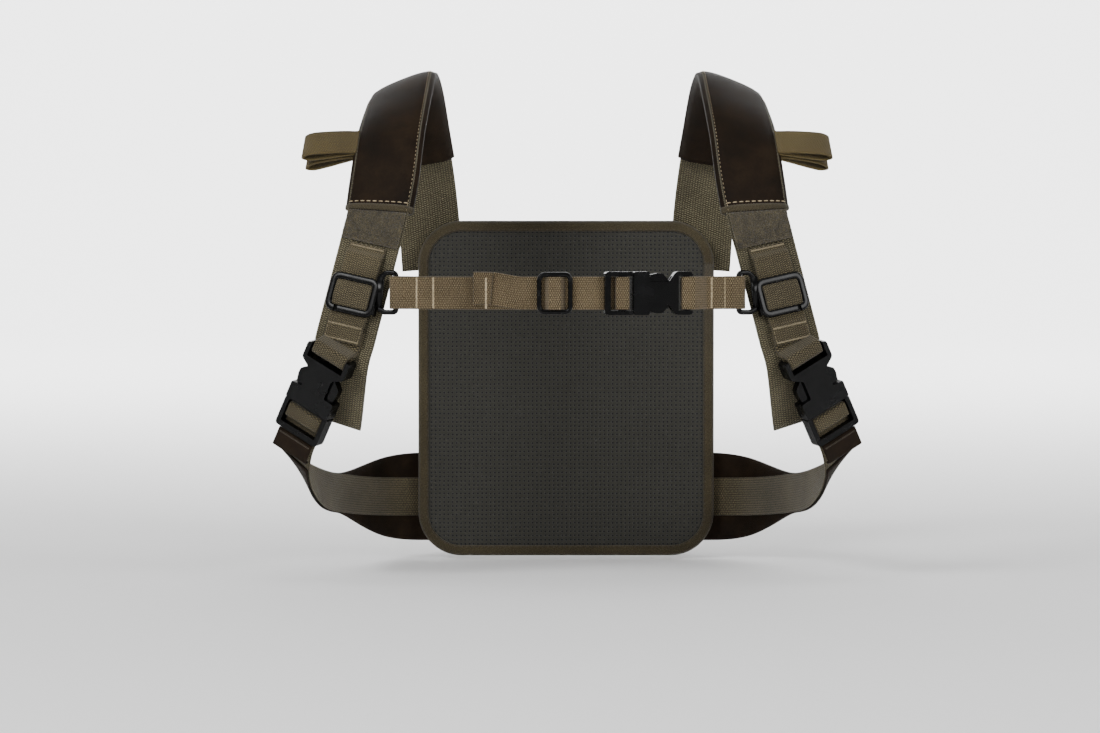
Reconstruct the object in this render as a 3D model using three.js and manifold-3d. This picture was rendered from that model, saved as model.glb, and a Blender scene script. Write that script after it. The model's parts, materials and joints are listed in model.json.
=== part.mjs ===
// A shoulder harness vest, in the shape it takes when worn: two padded shoulder straps sewn to a flat back
// panel, a sternum strap with a side-release buckle between two height sliders, and a side strap with a buckle
// on each side. Units are millimetres. +Z is up, the wearer faces -Y, and the origin is the middle of the back
// panel's body side.
// Each side is drawn once, at positive x, and the left one is its mirror image.
import * as THREE from "three";
import { mergeVertices } from "three/addons/utils/BufferGeometryUtils.js";
import Module from "manifold-3d";

const wasm = await Module();
wasm.setup();

// ---- Webbing, fabric and clearances ----
const GAP = 0.3; // between pieces that touch when sewn or threaded
const STEP = 12; // longest facet along a strap
const SHOULDER_WEB = { width: 40, thick: 1.6 };
const LADDER_WEB = { width: 25, thick: 1.4 };
const STERNUM_WEB = { width: 20, thick: 1.3 };
const SIDE_WEB = { width: 25, thick: 1.4 };
const LAMINATE = 1.2; // coated fabric of the pad covers, the back panel and the wings
const LOOP_FIELD = { width: 38, thick: 1.4, start: 115.5, end: 136 };
const FOAM = { width: 37, thick: 3.4, margin: 5, gap: 0.5 };
const PAD = { start: 137, end: 372, margin: 1.4 };
const BINDING = { length: 3.2, thick: 1 };

// ---- Back panel ----
const BACK = { width: 190, height: 216, corner: 26, liner: 2, foam: 4.8 };
const EDGE_TAPE = 2.2;
const ROW = { count: 3, pitch: 36, length: 150, top: 46 };
const SHELL_OUT = BACK.liner + BACK.foam + 2 * GAP + LAMINATE; // the panel's outer face

// ---- Shoulder strap stations, measured up from its free lower end ----
const LADDER = { top: 114, freeTop: 111, freeLow: 62, low: 52, ramp: 4, free: 4.3, sewn: 1.8, stacked: 5.2 };
const SLIDER = { at: 82, length: 24.2, rail: 3.5, bar: 3.3, backBar: 5, front: 2, slit: 0.7 };
const EYE = { bar: 3.2, end: 2.4, room: 8 }; // the part of the slider that holds the sternum strap
const CARRY = {
  at: 190, reach: 32, rise: 2.7, thick: 1.2, root: 0.85, spread: 4.2, tilt: 9, width: 20, gap: 0.6,
};

// ---- Sternum strap: an arc across the chest ----
const CHEST = { radius: 310, centreY: 84.4, height: 68, eye: 107 };
const STERNUM = {
  mouth: 39.2, triglide: -7.6, returnEnd: -80, tabStart: -46.5, tabEnd: -56.5, shortSeamRight: 97,
  shortSeamLeft: 91, eyeRoom: 3.6, eyeFront: 0.25, eyeBack: 1.3,
};
const TRIGLIDE = { length: 21.8, rim: 2.1, bar: 3.2, centreBar: 5, thick: 3, centreThick: 1.8 };

// ---- Side-release buckles, one spec for each webbing ----
const STERNUM_BUCKLE = {
  web: STERNUM_WEB, rail: 2.6, thick: 8, wall: 1.4, sideWall: 2.8, ring: 9.7, window: 14.3, waist: 14,
  tailSlot: 27.6, slot: 3.6, tailBar: 3.4, length: 36.2, ladder: 17.6, midBar: 5.5, slotNear: 3.8, endBar: 3.6,
};
const SIDE_BUCKLE = {
  web: SIDE_WEB, rail: 3, thick: 9.2, wall: 1.6, sideWall: 3, ring: 10.8, window: 15.4, waist: 17.5,
  tailSlot: 30.4, slot: 3.8, tailBar: 3.6, length: 39.5, ladder: 19.5, midBar: 6.3, slotNear: 4.2, endBar: 3.8,
};
const ARM = { pivot: 2.2, eye: 1.5, catchGap: 0.7, catch: 0.9, bulge: 1.9, neck: 2.6, tipDrop: 3.2, tip: 1.5 };
const PRONG = 17;
const SIDE_MOUTH = new THREE.Vector3(158.2, -192.1, -2.6);
const SIDE_FACE = 4.6; // the buckle's body-side face lies this far behind that point
const SIDE_AXIS = new THREE.Vector3(-0.38, -0.31, 0.87).normalize(); // from the ladder end to the webbing bar
const SIDE_YAW = 24;
const SIDE_TAB = 12; // the folded end of the side strap
const SIDE_DROP = 72; // below the middle of the back panel
const WING = { facing: 20, start: 128, width: 58, gap: 0.5 };

const rad = THREE.MathUtils.degToRad;
const vec = (x, y, z) => new THREE.Vector3(x, y, z);

// ---- Routes: a centre line with a width direction, cut into short straight runs ----
// Everything laid on a route bends at the same stations, so layers stay parallel. Marks are extra stations.
class Route {
  constructor(points, widths, marks) {
    const line = new THREE.CatmullRomCurve3(points, false, "centripetal");
    const across = new THREE.CatmullRomCurve3(widths, false, "catmullrom");
    line.arcLengthDivisions = 600;
    this.length = line.getLength();
    const count = Math.ceil(this.length / STEP);
    const even = Array.from({ length: count + 1 }, (_, i) => (i * this.length) / count);
    const spaced = even.filter((s) => marks.every((mark) => Math.abs(mark - s) > 1));
    this.stations = [...spaced, ...marks].toSorted((a, b) => a - b).map((s) => {
      const t = line.getUtoTmapping(s / this.length);
      const tangent = line.getTangent(t).normalize();
      const w = across.getPoint(t);
      w.addScaledVector(tangent, -w.dot(tangent)).normalize();
      return { s, p: line.getPoint(t), w, normal: tangent.clone().cross(w) };
    });
  }
  // The frame at distance s along the line, moved by n along the outward normal.
  at(s, n = 0) {
    const after = Math.max(1, this.stations.findIndex((station) => station.s >= s - 1e-6));
    const [a, b] = [this.stations[after - 1], this.stations[after]];
    const share = (s - a.s) / (b.s - a.s);
    const normal = a.normal.clone().lerp(b.normal, share);
    const p = a.p.clone().lerp(b.p, share).addScaledVector(normal, n);
    return { p, w: a.w.clone().lerp(b.w, share), tangent: b.p.clone().sub(a.p).normalize(), normal };
  }
  // Frames at both ends and at every station between them.
  frames(from, to, lift = () => 0) {
    const inside = this.stations.map((station) => station.s).filter((s) => s > from + 0.1 && s < to - 0.1);
    return [from, ...inside, to].map((s) => this.at(s, lift(s)));
  }
}

// Where the straps lie on the back panel. The straps come to its shell over its top and its side edges.
const BACK_TOP = BACK.height / 2;
const BACK_SIDE = BACK.width / 2;
const SHOULDER_ON_BACK = SHELL_OUT + GAP + SHOULDER_WEB.thick / 2;
const SIDE_ON_BACK = SHELL_OUT + GAP + SIDE_WEB.thick / 2;

// The shoulder strap lies straight down the chest, so that the slider can run on it.
const CHEST_LOW = vec(140.4, -196.6, 22.4);
const CHEST_HIGH = vec(117.1, -187.5, 113);
const chestYaw = (degrees) => vec(-Math.cos(rad(degrees)), -Math.sin(rad(degrees)), 0);
const chestLine = [0, 1, 2, 3, 4, 5, 6].map((k) => CHEST_LOW.clone().lerp(CHEST_HIGH, k / 6));
const shoulder = new Route(
  [
    vec(144.6, -183, -12), ...chestLine,
    vec(113.2, -176, 138), vec(110.3, -154, 164), vec(106.8, -124, 185), vec(104, -90, 198),
    vec(101.5, -54, 192), vec(98, -18, BACK_TOP + 60), vec(94, 4, BACK_TOP + 34),
    vec(91, SHOULDER_ON_BACK, BACK_TOP + 8), vec(88, SHOULDER_ON_BACK, BACK_TOP - 32),
  ],
  [
    chestYaw(28), chestYaw(22), chestYaw(20), chestYaw(20), chestYaw(20), chestYaw(20), chestYaw(20), chestYaw(18),
    vec(-0.97, -0.2, 0.03), vec(-0.96, -0.14, 0.14), vec(-0.93, -0.06, 0.27), vec(-0.91, 0, 0.36),
    vec(-0.93, 0.04, 0.32), vec(-0.97, 0.05, 0.2), vec(-0.99, 0.03, 0.08), vec(-1, 0, 0), vec(-1, 0, 0),
  ],
  [
    LADDER.low, LADDER.freeLow, LADDER.freeLow + LADDER.ramp / 2, LADDER.freeLow + LADDER.ramp,
    LADDER.freeTop - LADDER.ramp, LADDER.freeTop - LADDER.ramp / 2, LADDER.freeTop, LADDER.top,
    LOOP_FIELD.start, LOOP_FIELD.end, PAD.start, PAD.start + FOAM.margin, PAD.end - FOAM.margin, PAD.end,
  ],
);

// The side strap leaves the buckle along its axis, then turns round the ribs to the back panel.
const sideNormal = vec(Math.sin(rad(SIDE_YAW)), -Math.cos(rad(SIDE_YAW)), 0);
sideNormal.addScaledVector(SIDE_AXIS, -sideNormal.dot(SIDE_AXIS)).normalize();
const sideAcross = SIDE_AXIS.clone().cross(sideNormal);
const sideMouth = SIDE_MOUTH.clone().addScaledVector(sideNormal, SIDE_BUCKLE.thick / 2 - SIDE_FACE);
const webLevel = (buckle) => -buckle.web.thick * 2 - GAP * 2; // a buckle's mid plane to the main ply, nearly
const sideStart = sideMouth.clone()
  .addScaledVector(SIDE_AXIS, -SIDE_BUCKLE.ladder)
  .addScaledVector(sideNormal, webLevel(SIDE_BUCKLE));
const side = new Route(
  [
    sideStart, sideStart.clone().addScaledVector(SIDE_AXIS, -7), vec(167.5, -172, -35), vec(164, -156, -44.5),
    vec(158.5, -132, -53), vec(152, -100, -60), vec(143.5, -60, -65),
    vec(BACK_SIDE + 35, -25, -69), vec(BACK_SIDE + 19, 0, -71.3), vec(BACK_SIDE + 3, SIDE_ON_BACK, -SIDE_DROP),
    vec(BACK_SIDE - 15, SIDE_ON_BACK, -SIDE_DROP), vec(BACK_SIDE - 33, SIDE_ON_BACK, -SIDE_DROP),
  ],
  [
    sideAcross, sideAcross, vec(0.66, 0.42, 0.62), vec(0.45, 0.42, 0.79), vec(0.24, 0.34, 0.91),
    vec(0.07, 0.24, 0.97), vec(0, 0.14, 0.99), vec(-0.01, 0.06, 1), vec(-0.01, 0.02, 1), vec(0, 0, 1),
    vec(0, 0, 1), vec(0, 0, 1),
  ],
  [WING.facing, WING.start - 1, WING.start],
);

// A point threaded through the side buckle: how far along its axis from its mouth, and out of its mid plane.
const atSideBuckle = (q) => ({
  p: sideMouth.clone().addScaledVector(SIDE_AXIS, q.x).addScaledVector(sideNormal, q.y),
  w: sideAcross,
});

// The sternum strap's frame at distance s along the chest arc, which is level.
function chestArc(s, n = 0) {
  const a = s / CHEST.radius;
  const tangent = vec(Math.cos(a), Math.sin(a), 0);
  const normal = vec(Math.sin(a), -Math.cos(a), 0);
  const p = vec(0, CHEST.centreY, CHEST.height).addScaledVector(normal, CHEST.radius + n);
  return { p, w: vec(0, 0, 1), tangent, normal };
}

// ---- Solids ----
const volumeOf = (geometry) => {
  const p = geometry.attributes.position;
  const index = geometry.index.array;
  const [a, b, c] = [vec(), vec(), vec()];
  let sum = 0;
  for (let i = 0; i < index.length; i += 3) {
    a.fromBufferAttribute(p, index[i]);
    b.fromBufferAttribute(p, index[i + 1]);
    c.fromBufferAttribute(p, index[i + 2]);
    sum += a.dot(b.cross(c));
  }
  return sum;
};

// Positions only, shared vertices merged, faces pointing out.
function closed(geometry) {
  const g = new THREE.BufferGeometry().setAttribute("position", geometry.attributes.position.clone());
  if (geometry.index) g.setIndex(geometry.index.clone());
  const merged = mergeVertices(g, 1e-4);
  if (volumeOf(merged) < 0) merged.index.array.reverse();
  return merged;
}

function solid(geometry) {
  const g = closed(geometry);
  return new wasm.Manifold(
    new wasm.Mesh({
      numProp: 3,
      vertProperties: new Float32Array(g.attributes.position.array),
      triVerts: new Uint32Array(g.index.array),
    }),
  );
}

function geometryOf(manifold) {
  const mesh = manifold.getMesh();
  const g = new THREE.BufferGeometry();
  g.setAttribute("position", new THREE.BufferAttribute(new Float32Array(mesh.vertProperties), 3));
  g.setIndex(new THREE.BufferAttribute(new Uint32Array(mesh.triVerts), 1));
  return g;
}

const joined = (first, ...others) => others.reduce((sum, g) => sum.add(solid(g)), solid(first));
const cut = (from, ...tools) => tools.reduce((rest, g) => rest.subtract(solid(g)), from);

// A strip of webbing or fabric: a flat section carried along frames. Its width may change along its length.
// A frame without a normal takes one square to the strip.
function ribbon(frames, width, thick) {
  const widthAt = typeof width === "function" ? width : () => width;
  const last = frames.length - 1;
  const positions = [];
  frames.forEach((frame, i) => {
    const ahead = frames[Math.min(i + 1, last)].p;
    const behind = frames[Math.max(i - 1, 0)].p;
    const { w } = frame;
    const n = frame.normal ?? ahead.clone().sub(behind).cross(w).normalize();
    const half = widthAt(i / last) / 2;
    [[-1, -1], [1, -1], [1, 1], [-1, 1]].forEach(([across, out]) => {
      positions.push(...frame.p.clone().addScaledVector(w, across * half).addScaledVector(n, (out * thick) / 2));
    });
  });
  const index = [0, 1, 2, 0, 2, 3];
  for (let i = 0; i < last; i++) {
    for (let k = 0; k < 4; k++) {
      const a = 4 * i + k;
      const b = 4 * i + ((k + 1) % 4);
      // The lower face is split the same way as the upper one.
      if (k === 0) index.push(a, a + 4, b, b, a + 4, b + 4);
      else index.push(a, a + 4, b + 4, a, b + 4, b);
    }
  }
  const end = 4 * last;
  index.push(end, end + 2, end + 1, end, end + 3, end + 2);
  const g = new THREE.BufferGeometry().setAttribute("position", new THREE.Float32BufferAttribute(positions, 3));
  g.setIndex(index);
  return closed(g);
}

// Points [along, out] of a threaded strap: lines between corners, each rounded to the radius given with it.
function threaded(corners, turns = 4) {
  const points = [new THREE.Vector2(...corners[0])];
  for (let i = 1; i < corners.length - 1; i++) {
    const corner = new THREE.Vector2(...corners[i]);
    const before = new THREE.Vector2(...corners[i - 1]).sub(corner).normalize();
    const after = new THREE.Vector2(...corners[i + 1]).sub(corner).normalize();
    const reach = (corners[i][2] ?? 1.2) / Math.tan(before.angleTo(after) / 2);
    const from = corner.clone().addScaledVector(before, reach);
    const to = corner.clone().addScaledVector(after, reach);
    points.push(...new THREE.QuadraticBezierCurve(from, corner, to).getPoints(turns));
  }
  points.push(new THREE.Vector2(...corners.at(-1)));
  return points;
}

// Splits long stretches, so that a strap bends with the line it is laid on.
function refined(points, step = STEP) {
  return points.flatMap((p, i) => {
    if (i === 0) return [p];
    const parts = Math.max(1, Math.ceil(p.distanceTo(points[i - 1]) / step));
    return Array.from({ length: parts }, (_, k) => points[i - 1].clone().lerp(p, (k + 1) / parts));
  });
}

const outline = (corners) => {
  const shape = new THREE.Shape();
  corners.forEach(([x, y, r = 0], i) => {
    const corner = new THREE.Vector2(x, y);
    const before = new THREE.Vector2(...corners.at(i - 1)).sub(corner);
    const after = new THREE.Vector2(...corners[(i + 1) % corners.length]).sub(corner);
    const reach = r / Math.tan(before.angleTo(after) / 2);
    const from = corner.clone().addScaledVector(before.normalize(), reach);
    const to = corner.clone().addScaledVector(after.normalize(), reach);
    if (i === 0) shape.moveTo(from.x, from.y);
    else shape.lineTo(from.x, from.y);
    if (r > 0) shape.quadraticCurveTo(x, y, to.x, to.y);
  });
  shape.closePath();
  return shape;
};

const box = (length, width, r = 0) => [
  [-length / 2, -width / 2, r], [length / 2, -width / 2, r],
  [length / 2, width / 2, r], [-length / 2, width / 2, r],
];

// A plate of an outline in x and y, from one height to another.
function plate(shape, low, high, segments = 3) {
  const g = new THREE.ExtrudeGeometry(shape, { depth: high - low, bevelEnabled: false, curveSegments: segments });
  return g.translate(0, 0, low);
}

const block = (x0, x1, y0, y1, z0, z1) =>
  new THREE.BoxGeometry(x1 - x0, y1 - y0, z1 - z0).translate((x0 + x1) / 2, (y0 + y1) / 2, (z0 + z1) / 2);

// ---- Materials ----
const finish = (color, roughness) => new THREE.MeshStandardMaterial({ color, roughness, metalness: 0 });
const MATERIALS = {
  laminate: finish("#30271c", 0.62),
  oliveWebbing: finish("#544b36", 0.9),
  tanWebbing: finish("#6a5b45", 0.9),
  loopPile: finish("#585241", 1),
  foam: finish("#2a2a28", 0.95),
  mesh: finish("#2b2a25", 0.95),
  acetal: finish("#17181a", 0.42),
};

const mesh = (name, geometry, material) => {
  const m = new THREE.Mesh(geometry, MATERIALS[material]);
  m.name = name;
  return m;
};

// Places a piece drawn flat (x along, y across, z out) into a frame.
function placed(m, origin, along, out) {
  const across = out.clone().cross(along);
  m.matrixAutoUpdate = false;
  m.matrix.makeBasis(along, across, out).setPosition(origin);
  return m;
}

// ---- Side-release buckle, drawn flat: x runs from the ladder to the webbing bar, and 0 is the mouth ----
const outerWidth = (b) => b.web.width + 1 + 2 * b.rail;
const slotWidth = (b) => b.web.width + 1;
const cavityHalf = (b) => outerWidth(b) / 2 - b.sideWall;
const cavityDepth = (b) => b.ring + b.window + 0.6;
const tongueHalf = (b) => b.thick / 2 - b.wall - GAP;
const tailBarMiddle = (b) => b.tailSlot + b.slot + b.tailBar / 2;
const tailFold = (b) => b.tailBar / 2 + GAP + b.web.thick / 2;

function socket(b) {
  const half = outerWidth(b) / 2;
  const waist = b.waist / 2;
  const neck = b.ring + b.window;
  const shape = outline([
    [0, -half, 1], [b.ring, -half, 1], [b.ring + 0.2, -waist, 1], [neck - 2.5, -waist, 2], [neck + 2, -half, 2.5],
    [b.length, -half, 2], [b.length, half, 2], [neck + 2, half, 2.5], [neck - 2.5, waist, 2],
    [b.ring + 0.2, waist, 1], [b.ring, half, 1], [0, half, 1],
  ]);
  const inner = cavityHalf(b);
  const slot = slotWidth(b) / 2;
  const barHalf = b.tailBar / 2;
  const barFrom = b.tailSlot + b.slot;
  return cut(
    solid(plate(shape, -b.thick / 2, b.thick / 2, 2)),
    block(-1, cavityDepth(b), -inner, inner, -b.thick / 2 + b.wall, b.thick / 2 - b.wall),
    block(b.tailSlot, barFrom, -slot, slot, -b.thick, b.thick),
    block(barFrom + b.tailBar, b.length + 1, -slot, slot, -b.thick, b.thick),
    block(barFrom - 0.1, b.length, -slot, slot, barHalf, b.thick),
    block(barFrom - 0.1, b.length, -slot, slot, -b.thick, -barHalf),
  );
}

// Where an arm turns on the tongue's base: [along, across].
const armPivot = (b) => [ARM.pivot, cavityHalf(b) - ARM.neck - 0.6];

function tongue(b) {
  const half = outerWidth(b) / 2;
  const slot = slotWidth(b) / 2;
  const lug = tongueHalf(b);
  const level = webLevel(b);
  const tailTop = level + 1.5 * b.web.thick + GAP;
  const endBarLow = tailTop + GAP;
  const farSlot = -b.slotNear - b.midBar;
  const around = outline([[-b.ladder, -half, 2.5], [-0.3, -half, 0.8], [-0.3, half, 0.8], [-b.ladder, half, 2.5]]);
  const frame = plate(around, level - b.web.thick / 2, b.thick / 2 - 0.6, 3);
  const [pivotX, pivotY] = armPivot(b);
  const baseHalf = cavityHalf(b) - GAP;
  const body = cut(
    joined(
      frame,
      block(-1, pivotX + 2.2, -baseHalf, baseHalf, -lug, lug),
      plate(outline([[pivotX, -1.6], [PRONG, -1.1, 0.5], [PRONG, 1.1, 0.5], [pivotX, 1.6]]), -lug, lug, 2),
    ),
    block(-b.slotNear, -0.6, -slot, slot, -b.thick, b.thick),
    block(-b.ladder + b.endBar, farSlot, -slot, slot, -b.thick, b.thick),
    block(-b.ladder - 1, -b.ladder + b.endBar + 0.1, -slot, slot, -b.thick, endBarLow),
    block(farSlot - 0.1, -b.slotNear + 0.1, -slot, slot, -b.thick, endBarLow - 0.2),
    block(farSlot - 0.1, -b.slotNear + 0.1, -slot, slot, endBarLow + 2, b.thick),
  );
  const seats = [-1, 1].flatMap((way) => [
    new THREE.CylinderGeometry(ARM.eye + GAP, ARM.eye + GAP, b.thick, 16).rotateX(Math.PI / 2)
      .translate(pivotX, way * pivotY, 0),
    block(pivotX, pivotX + 5, Math.min(way * 2.6, way * half), Math.max(way * 2.6, way * half), -b.thick, b.thick),
  ]);
  return cut(body, ...seats);
}

// One latch arm on the +y side: an eye, a straight neck, the catch behind the socket's ring, and a thumb bulge.
function arm(b) {
  const [pivotX, pivotY] = armPivot(b);
  const lug = tongueHalf(b) - 0.1;
  const outer = cavityHalf(b) - GAP;
  const caught = b.ring + ARM.catchGap;
  const end = cavityDepth(b) - 1;
  const bulge = cavityHalf(b) + ARM.bulge;
  const inner = outer - ARM.neck;
  const shape = outline([
    [pivotX, pivotY - 1.1], [caught + 1, inner - 0.8, 1], [end - 4, inner - ARM.tipDrop * 0.6, 1],
    [end, inner - ARM.tipDrop, 0.4], [end, inner - ARM.tipDrop + ARM.tip, 0.4], [end - 5.6, bulge - 0.2, 2.4],
    [end - 9, bulge, 2], [caught, cavityHalf(b) + ARM.catch, 0.3], [caught, outer, 0.2], [pivotX + 4, outer, 0.5],
    [pivotX, pivotY + 1.1],
  ]);
  const eye = new THREE.CylinderGeometry(ARM.eye, ARM.eye, 2 * lug, 16).rotateX(Math.PI / 2)
    .translate(pivotX, pivotY, 0);
  return joined(plate(shape, -lug, lug, 3), eye);
}

function buckle(names, b, origin, along, out) {
  const group = new THREE.Group();
  const latch = geometryOf(arm(b));
  const mirrored = closed(latch.clone().scale(1, -1, 1));
  [
    mesh(names.socket, geometryOf(socket(b)), "acetal"), mesh(names.tongue, geometryOf(tongue(b)), "acetal"),
    mesh(names.arms[0], latch, "acetal"), mesh(names.arms[1], mirrored, "acetal"),
  ].forEach((m) => group.add(placed(m, origin, along, out)));
  return group;
}

// The corners of a strap that is threaded through a ladder from below: main ply, over the middle bar, tail ply.
function laddered(b, at, mainOut) {
  const t = b.web.thick;
  const tail = mainOut + t + GAP;
  const barTop = tail + t / 2 + GAP + 2;
  const over = barTop + GAP + t / 2;
  const near = at - b.slotNear + GAP + t / 2;
  const far = at - b.slotNear - b.midBar - GAP - t / 2;
  return { tail, corners: [[near, mainOut, 0.9], [near, over, 1], [far, over, 1], [far, tail, 0.9]] };
}

// ---- Shoulder strap and everything sewn to it ----
const ladderLift = (s) => {
  const { ramp } = LADDER;
  const up = THREE.MathUtils.smoothstep(LADDER.freeTop - s, 0, ramp);
  const stack = THREE.MathUtils.smoothstep(LADDER.freeLow + ramp - s, 0, ramp);
  return LADDER.sewn + (LADDER.free - LADDER.sewn) * up + (LADDER.stacked - LADDER.free) * stack;
};

function padCover() {
  const top = SHOULDER_WEB.thick / 2 + GAP;
  const bottom = -SHOULDER_WEB.thick / 2 - FOAM.thick - 2 * FOAM.gap;
  const middle = (top + bottom) / 2;
  const inner = SHOULDER_WEB.width + PAD.margin;
  const sleeve = ribbon(shoulder.frames(PAD.start, PAD.end, () => middle), inner + 2 * LAMINATE,
    top - bottom + 2 * LAMINATE);
  const hollow = ribbon(shoulder.frames(PAD.start - 2, PAD.end + 2, () => middle), inner, top - bottom);
  return geometryOf(cut(solid(sleeve), hollow));
}

function padBinding() {
  const top = SHOULDER_WEB.thick / 2 + GAP + LAMINATE + GAP + BINDING.thick / 2;
  return ribbon(shoulder.frames(PAD.start + 0.4, PAD.start + 0.4 + BINDING.length, () => top),
    SHOULDER_WEB.width + PAD.margin + 2 * LAMINATE, BINDING.thick);
}

// A small webbing loop that sticks out sideways from the pad, for a hose or cable.
function carryLoop(order) {
  const frame = shoulder.at(CARRY.at);
  const edge = (SHOULDER_WEB.width + PAD.margin) / 2 + LAMINATE + CARRY.gap;
  const far = edge + CARRY.reach;
  const { rise, root } = CARRY;
  const profile = new THREE.SplineCurve([
    [edge, root], [edge + 8, root + 1.1], [far - 11, rise], [far - 4, rise * 0.85], [far, 0.2],
    [far - 4, -rise * 0.75], [far - 11, -rise * 0.8], [edge + 8, -root - 0.5], [edge, -root],
  ].map((p) => new THREE.Vector2(...p))).getPoints(26);
  const tilt = rad(-CARRY.tilt * order);
  const drop = -CARRY.spread * order;
  const frames = profile.map((q) => {
    const out = (q.x - edge) * Math.cos(tilt) - q.y * Math.sin(tilt) + edge;
    const up = (q.x - edge) * Math.sin(tilt) + q.y * Math.cos(tilt) + drop;
    const p = frame.p.clone().addScaledVector(frame.w, -out).addScaledVector(frame.normal, up);
    return { p, w: frame.tangent };
  });
  return ribbon(frames, CARRY.width, CARRY.thick);
}

// The loop of webbing that holds the side buckle: sewn in under the ladder webbing, round the bar and back.
function buckleLoop() {
  const t = SIDE_WEB.thick;
  const under = SHOULDER_WEB.thick / 2 + GAP + t / 2;
  const upper = under + t + GAP;
  const reach = tailFold(SIDE_BUCKLE);
  const bar = tailBarMiddle(SIDE_BUCKLE);
  const past = SIDE_BUCKLE.length + 1.6;
  const corners = [[past, -reach], [bar - reach, -reach, 1.8], [bar - reach, reach, 1.8], [past, reach]];
  const round = threaded(corners).map((q) => ({ p: atSideBuckle(q).p, w: sideAcross.clone().negate() }));
  const sewn = (s, level) => ({ p: shoulder.at(s, level).p, w: shoulder.at(s).w });
  const stations = [LADDER.freeLow - 1, LADDER.low + 2, LADDER.low - 1];
  return ribbon(
    [...stations.map((s) => sewn(s, under)), ...round, ...stations.toReversed().map((s) => sewn(s, upper))],
    SIDE_WEB.width, t,
  );
}

// ---- Height slider: a frame round the ladder webbing with an eye for the sternum strap ----
function slider() {
  const frame = shoulder.at(SLIDER.at);
  const inner = LADDER_WEB.width / 2 + 0.4;
  const outer = inner + SLIDER.rail;
  const half = SLIDER.length / 2;
  const back = SHOULDER_WEB.thick / 2 + GAP;
  const webLow = LADDER.free - LADDER_WEB.thick / 2 - GAP;
  const webHigh = LADDER.free + LADDER_WEB.thick / 2 + GAP;
  const top = webHigh + SLIDER.front;
  const window = half - SLIDER.bar;
  const around = outline([[-half, -outer, 5], [half, -outer, 5], [half, outer, 2], [-half, outer, 2]]);
  const ring = cut(
    solid(plate(around, back, top, 3)),
    block(-window, window, -inner, inner, webLow, top + 1),
    block(-half - 1, half + 1, -inner, inner, webLow, webHigh),
    block(-half - 1, -SLIDER.backBar / 2, -inner, inner, back - 1, webHigh),
    block(SLIDER.backBar / 2, half + 1, -inner, inner, back - 1, webHigh),
    block(-half - 1, -window + 1, -inner + 3, -inner + 3 + SLIDER.slit, back - 1, top + 1),
  );
  const place = new THREE.Matrix4().makeBasis(frame.tangent, frame.w, frame.normal).setPosition(frame.p);
  const ringSolid = solid(geometryOf(ring).applyMatrix4(place));

  // The eye is drawn along the sternum strap's end, so that its bar stands upright.
  const end = chestArc(CHEST.eye, -STERNUM_WEB.thick / 2 - GAP / 2);
  const opening = STERNUM_WEB.width / 2 + 0.6;
  const tall = opening + EYE.end;
  const barHalf = EYE.bar / 2;
  const reach = 13.2;
  const aroundEye = outline([
    [-barHalf, -tall, 4], [reach - 5, -tall, 3], [reach + 2.4, -9, 0.5], [reach - 2.4, 9, 0.5],
    [reach - 6, tall, 3], [-barHalf, tall, 4],
  ]);
  const eye = cut(
    solid(plate(aroundEye, -barHalf, barHalf, 3)),
    block(barHalf, EYE.room, -opening, opening, -4, 4),
  );
  const toEnd = new THREE.Matrix4().makeBasis(end.tangent, end.w, end.normal.clone()).setPosition(end.p);
  const eyeSolid = solid(geometryOf(eye).applyMatrix4(toEnd));
  return geometryOf(ringSolid.add(eyeSolid));
}

// ---- Sternum strap ----
// The buckle is straight, so the strap leaves the arc for the buckle's own line near it.
const buckleMiddle = STERNUM.mouth + (STERNUM_BUCKLE.length - STERNUM_BUCKLE.ladder) / 2;
const buckleFrame = chestArc(buckleMiddle, -0.4);

function chestPoint(x, out) {
  const arc = chestArc(x, out);
  const straight = buckleFrame.p.clone().addScaledVector(buckleFrame.tangent, x - buckleMiddle)
    .addScaledVector(buckleFrame.normal, out);
  const past = Math.max(STERNUM.mouth - STERNUM_BUCKLE.ladder - x, x - STERNUM.mouth - STERNUM_BUCKLE.length);
  return { p: arc.p.lerp(straight, 1 - THREE.MathUtils.smoothstep(past, 1, 9)), w: arc.w };
}

const alongChest = (points) => refined(points, 6).map((q) => chestPoint(q.x, q.y));

// Corners round a slider's eye, with room for the bar to move in and back as the sliders rise and close in.
function eyeFold(way) {
  const t = STERNUM_WEB.thick;
  const middle = -t / 2 - GAP / 2;
  const reach = EYE.bar / 2 + GAP + t / 2;
  const front = middle + reach + STERNUM.eyeFront;
  const back = middle - reach - STERNUM.eyeBack;
  const outer = CHEST.eye + reach + 0.5;
  const inner = CHEST.eye - reach - STERNUM.eyeRoom;
  const seam = inner - 4;
  return {
    outward: [[way * seam, -t - GAP, 1], [way * inner, back, 1], [way * outer, back, 2]],
    inward: [[way * outer, front, 2], [way * inner, front, 1], [way * seam, 0, 1]],
  };
}

function sternumLong() {
  const t = STERNUM_WEB.thick;
  const { outward, inward } = eyeFold(-1);
  const ladder = laddered(STERNUM_BUCKLE, STERNUM.mouth, 0);
  const barTop = ladder.tail + t / 2 + GAP + TRIGLIDE.centreThick;
  const hump = barTop + GAP + t / 2;
  const reach = TRIGLIDE.centreBar / 2 + GAP;
  const c = STERNUM.triglide;
  const slope = 2.4;
  const fold3 = ladder.tail + t + GAP;
  return ribbon(
    alongChest(threaded([
      [STERNUM.returnEnd, -t - GAP], ...outward, ...inward, ...ladder.corners,
      [c + reach + slope, ladder.tail, 0.8], [c + reach, hump, 0.8], [c - reach, hump, 0.8],
      [c - reach - slope, ladder.tail, 0.8], [STERNUM.tabEnd, ladder.tail, 0.75], [STERNUM.tabEnd, fold3, 0.75],
      [STERNUM.tabStart, fold3],
    ])),
    STERNUM_WEB.width, t,
  );
}

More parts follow.
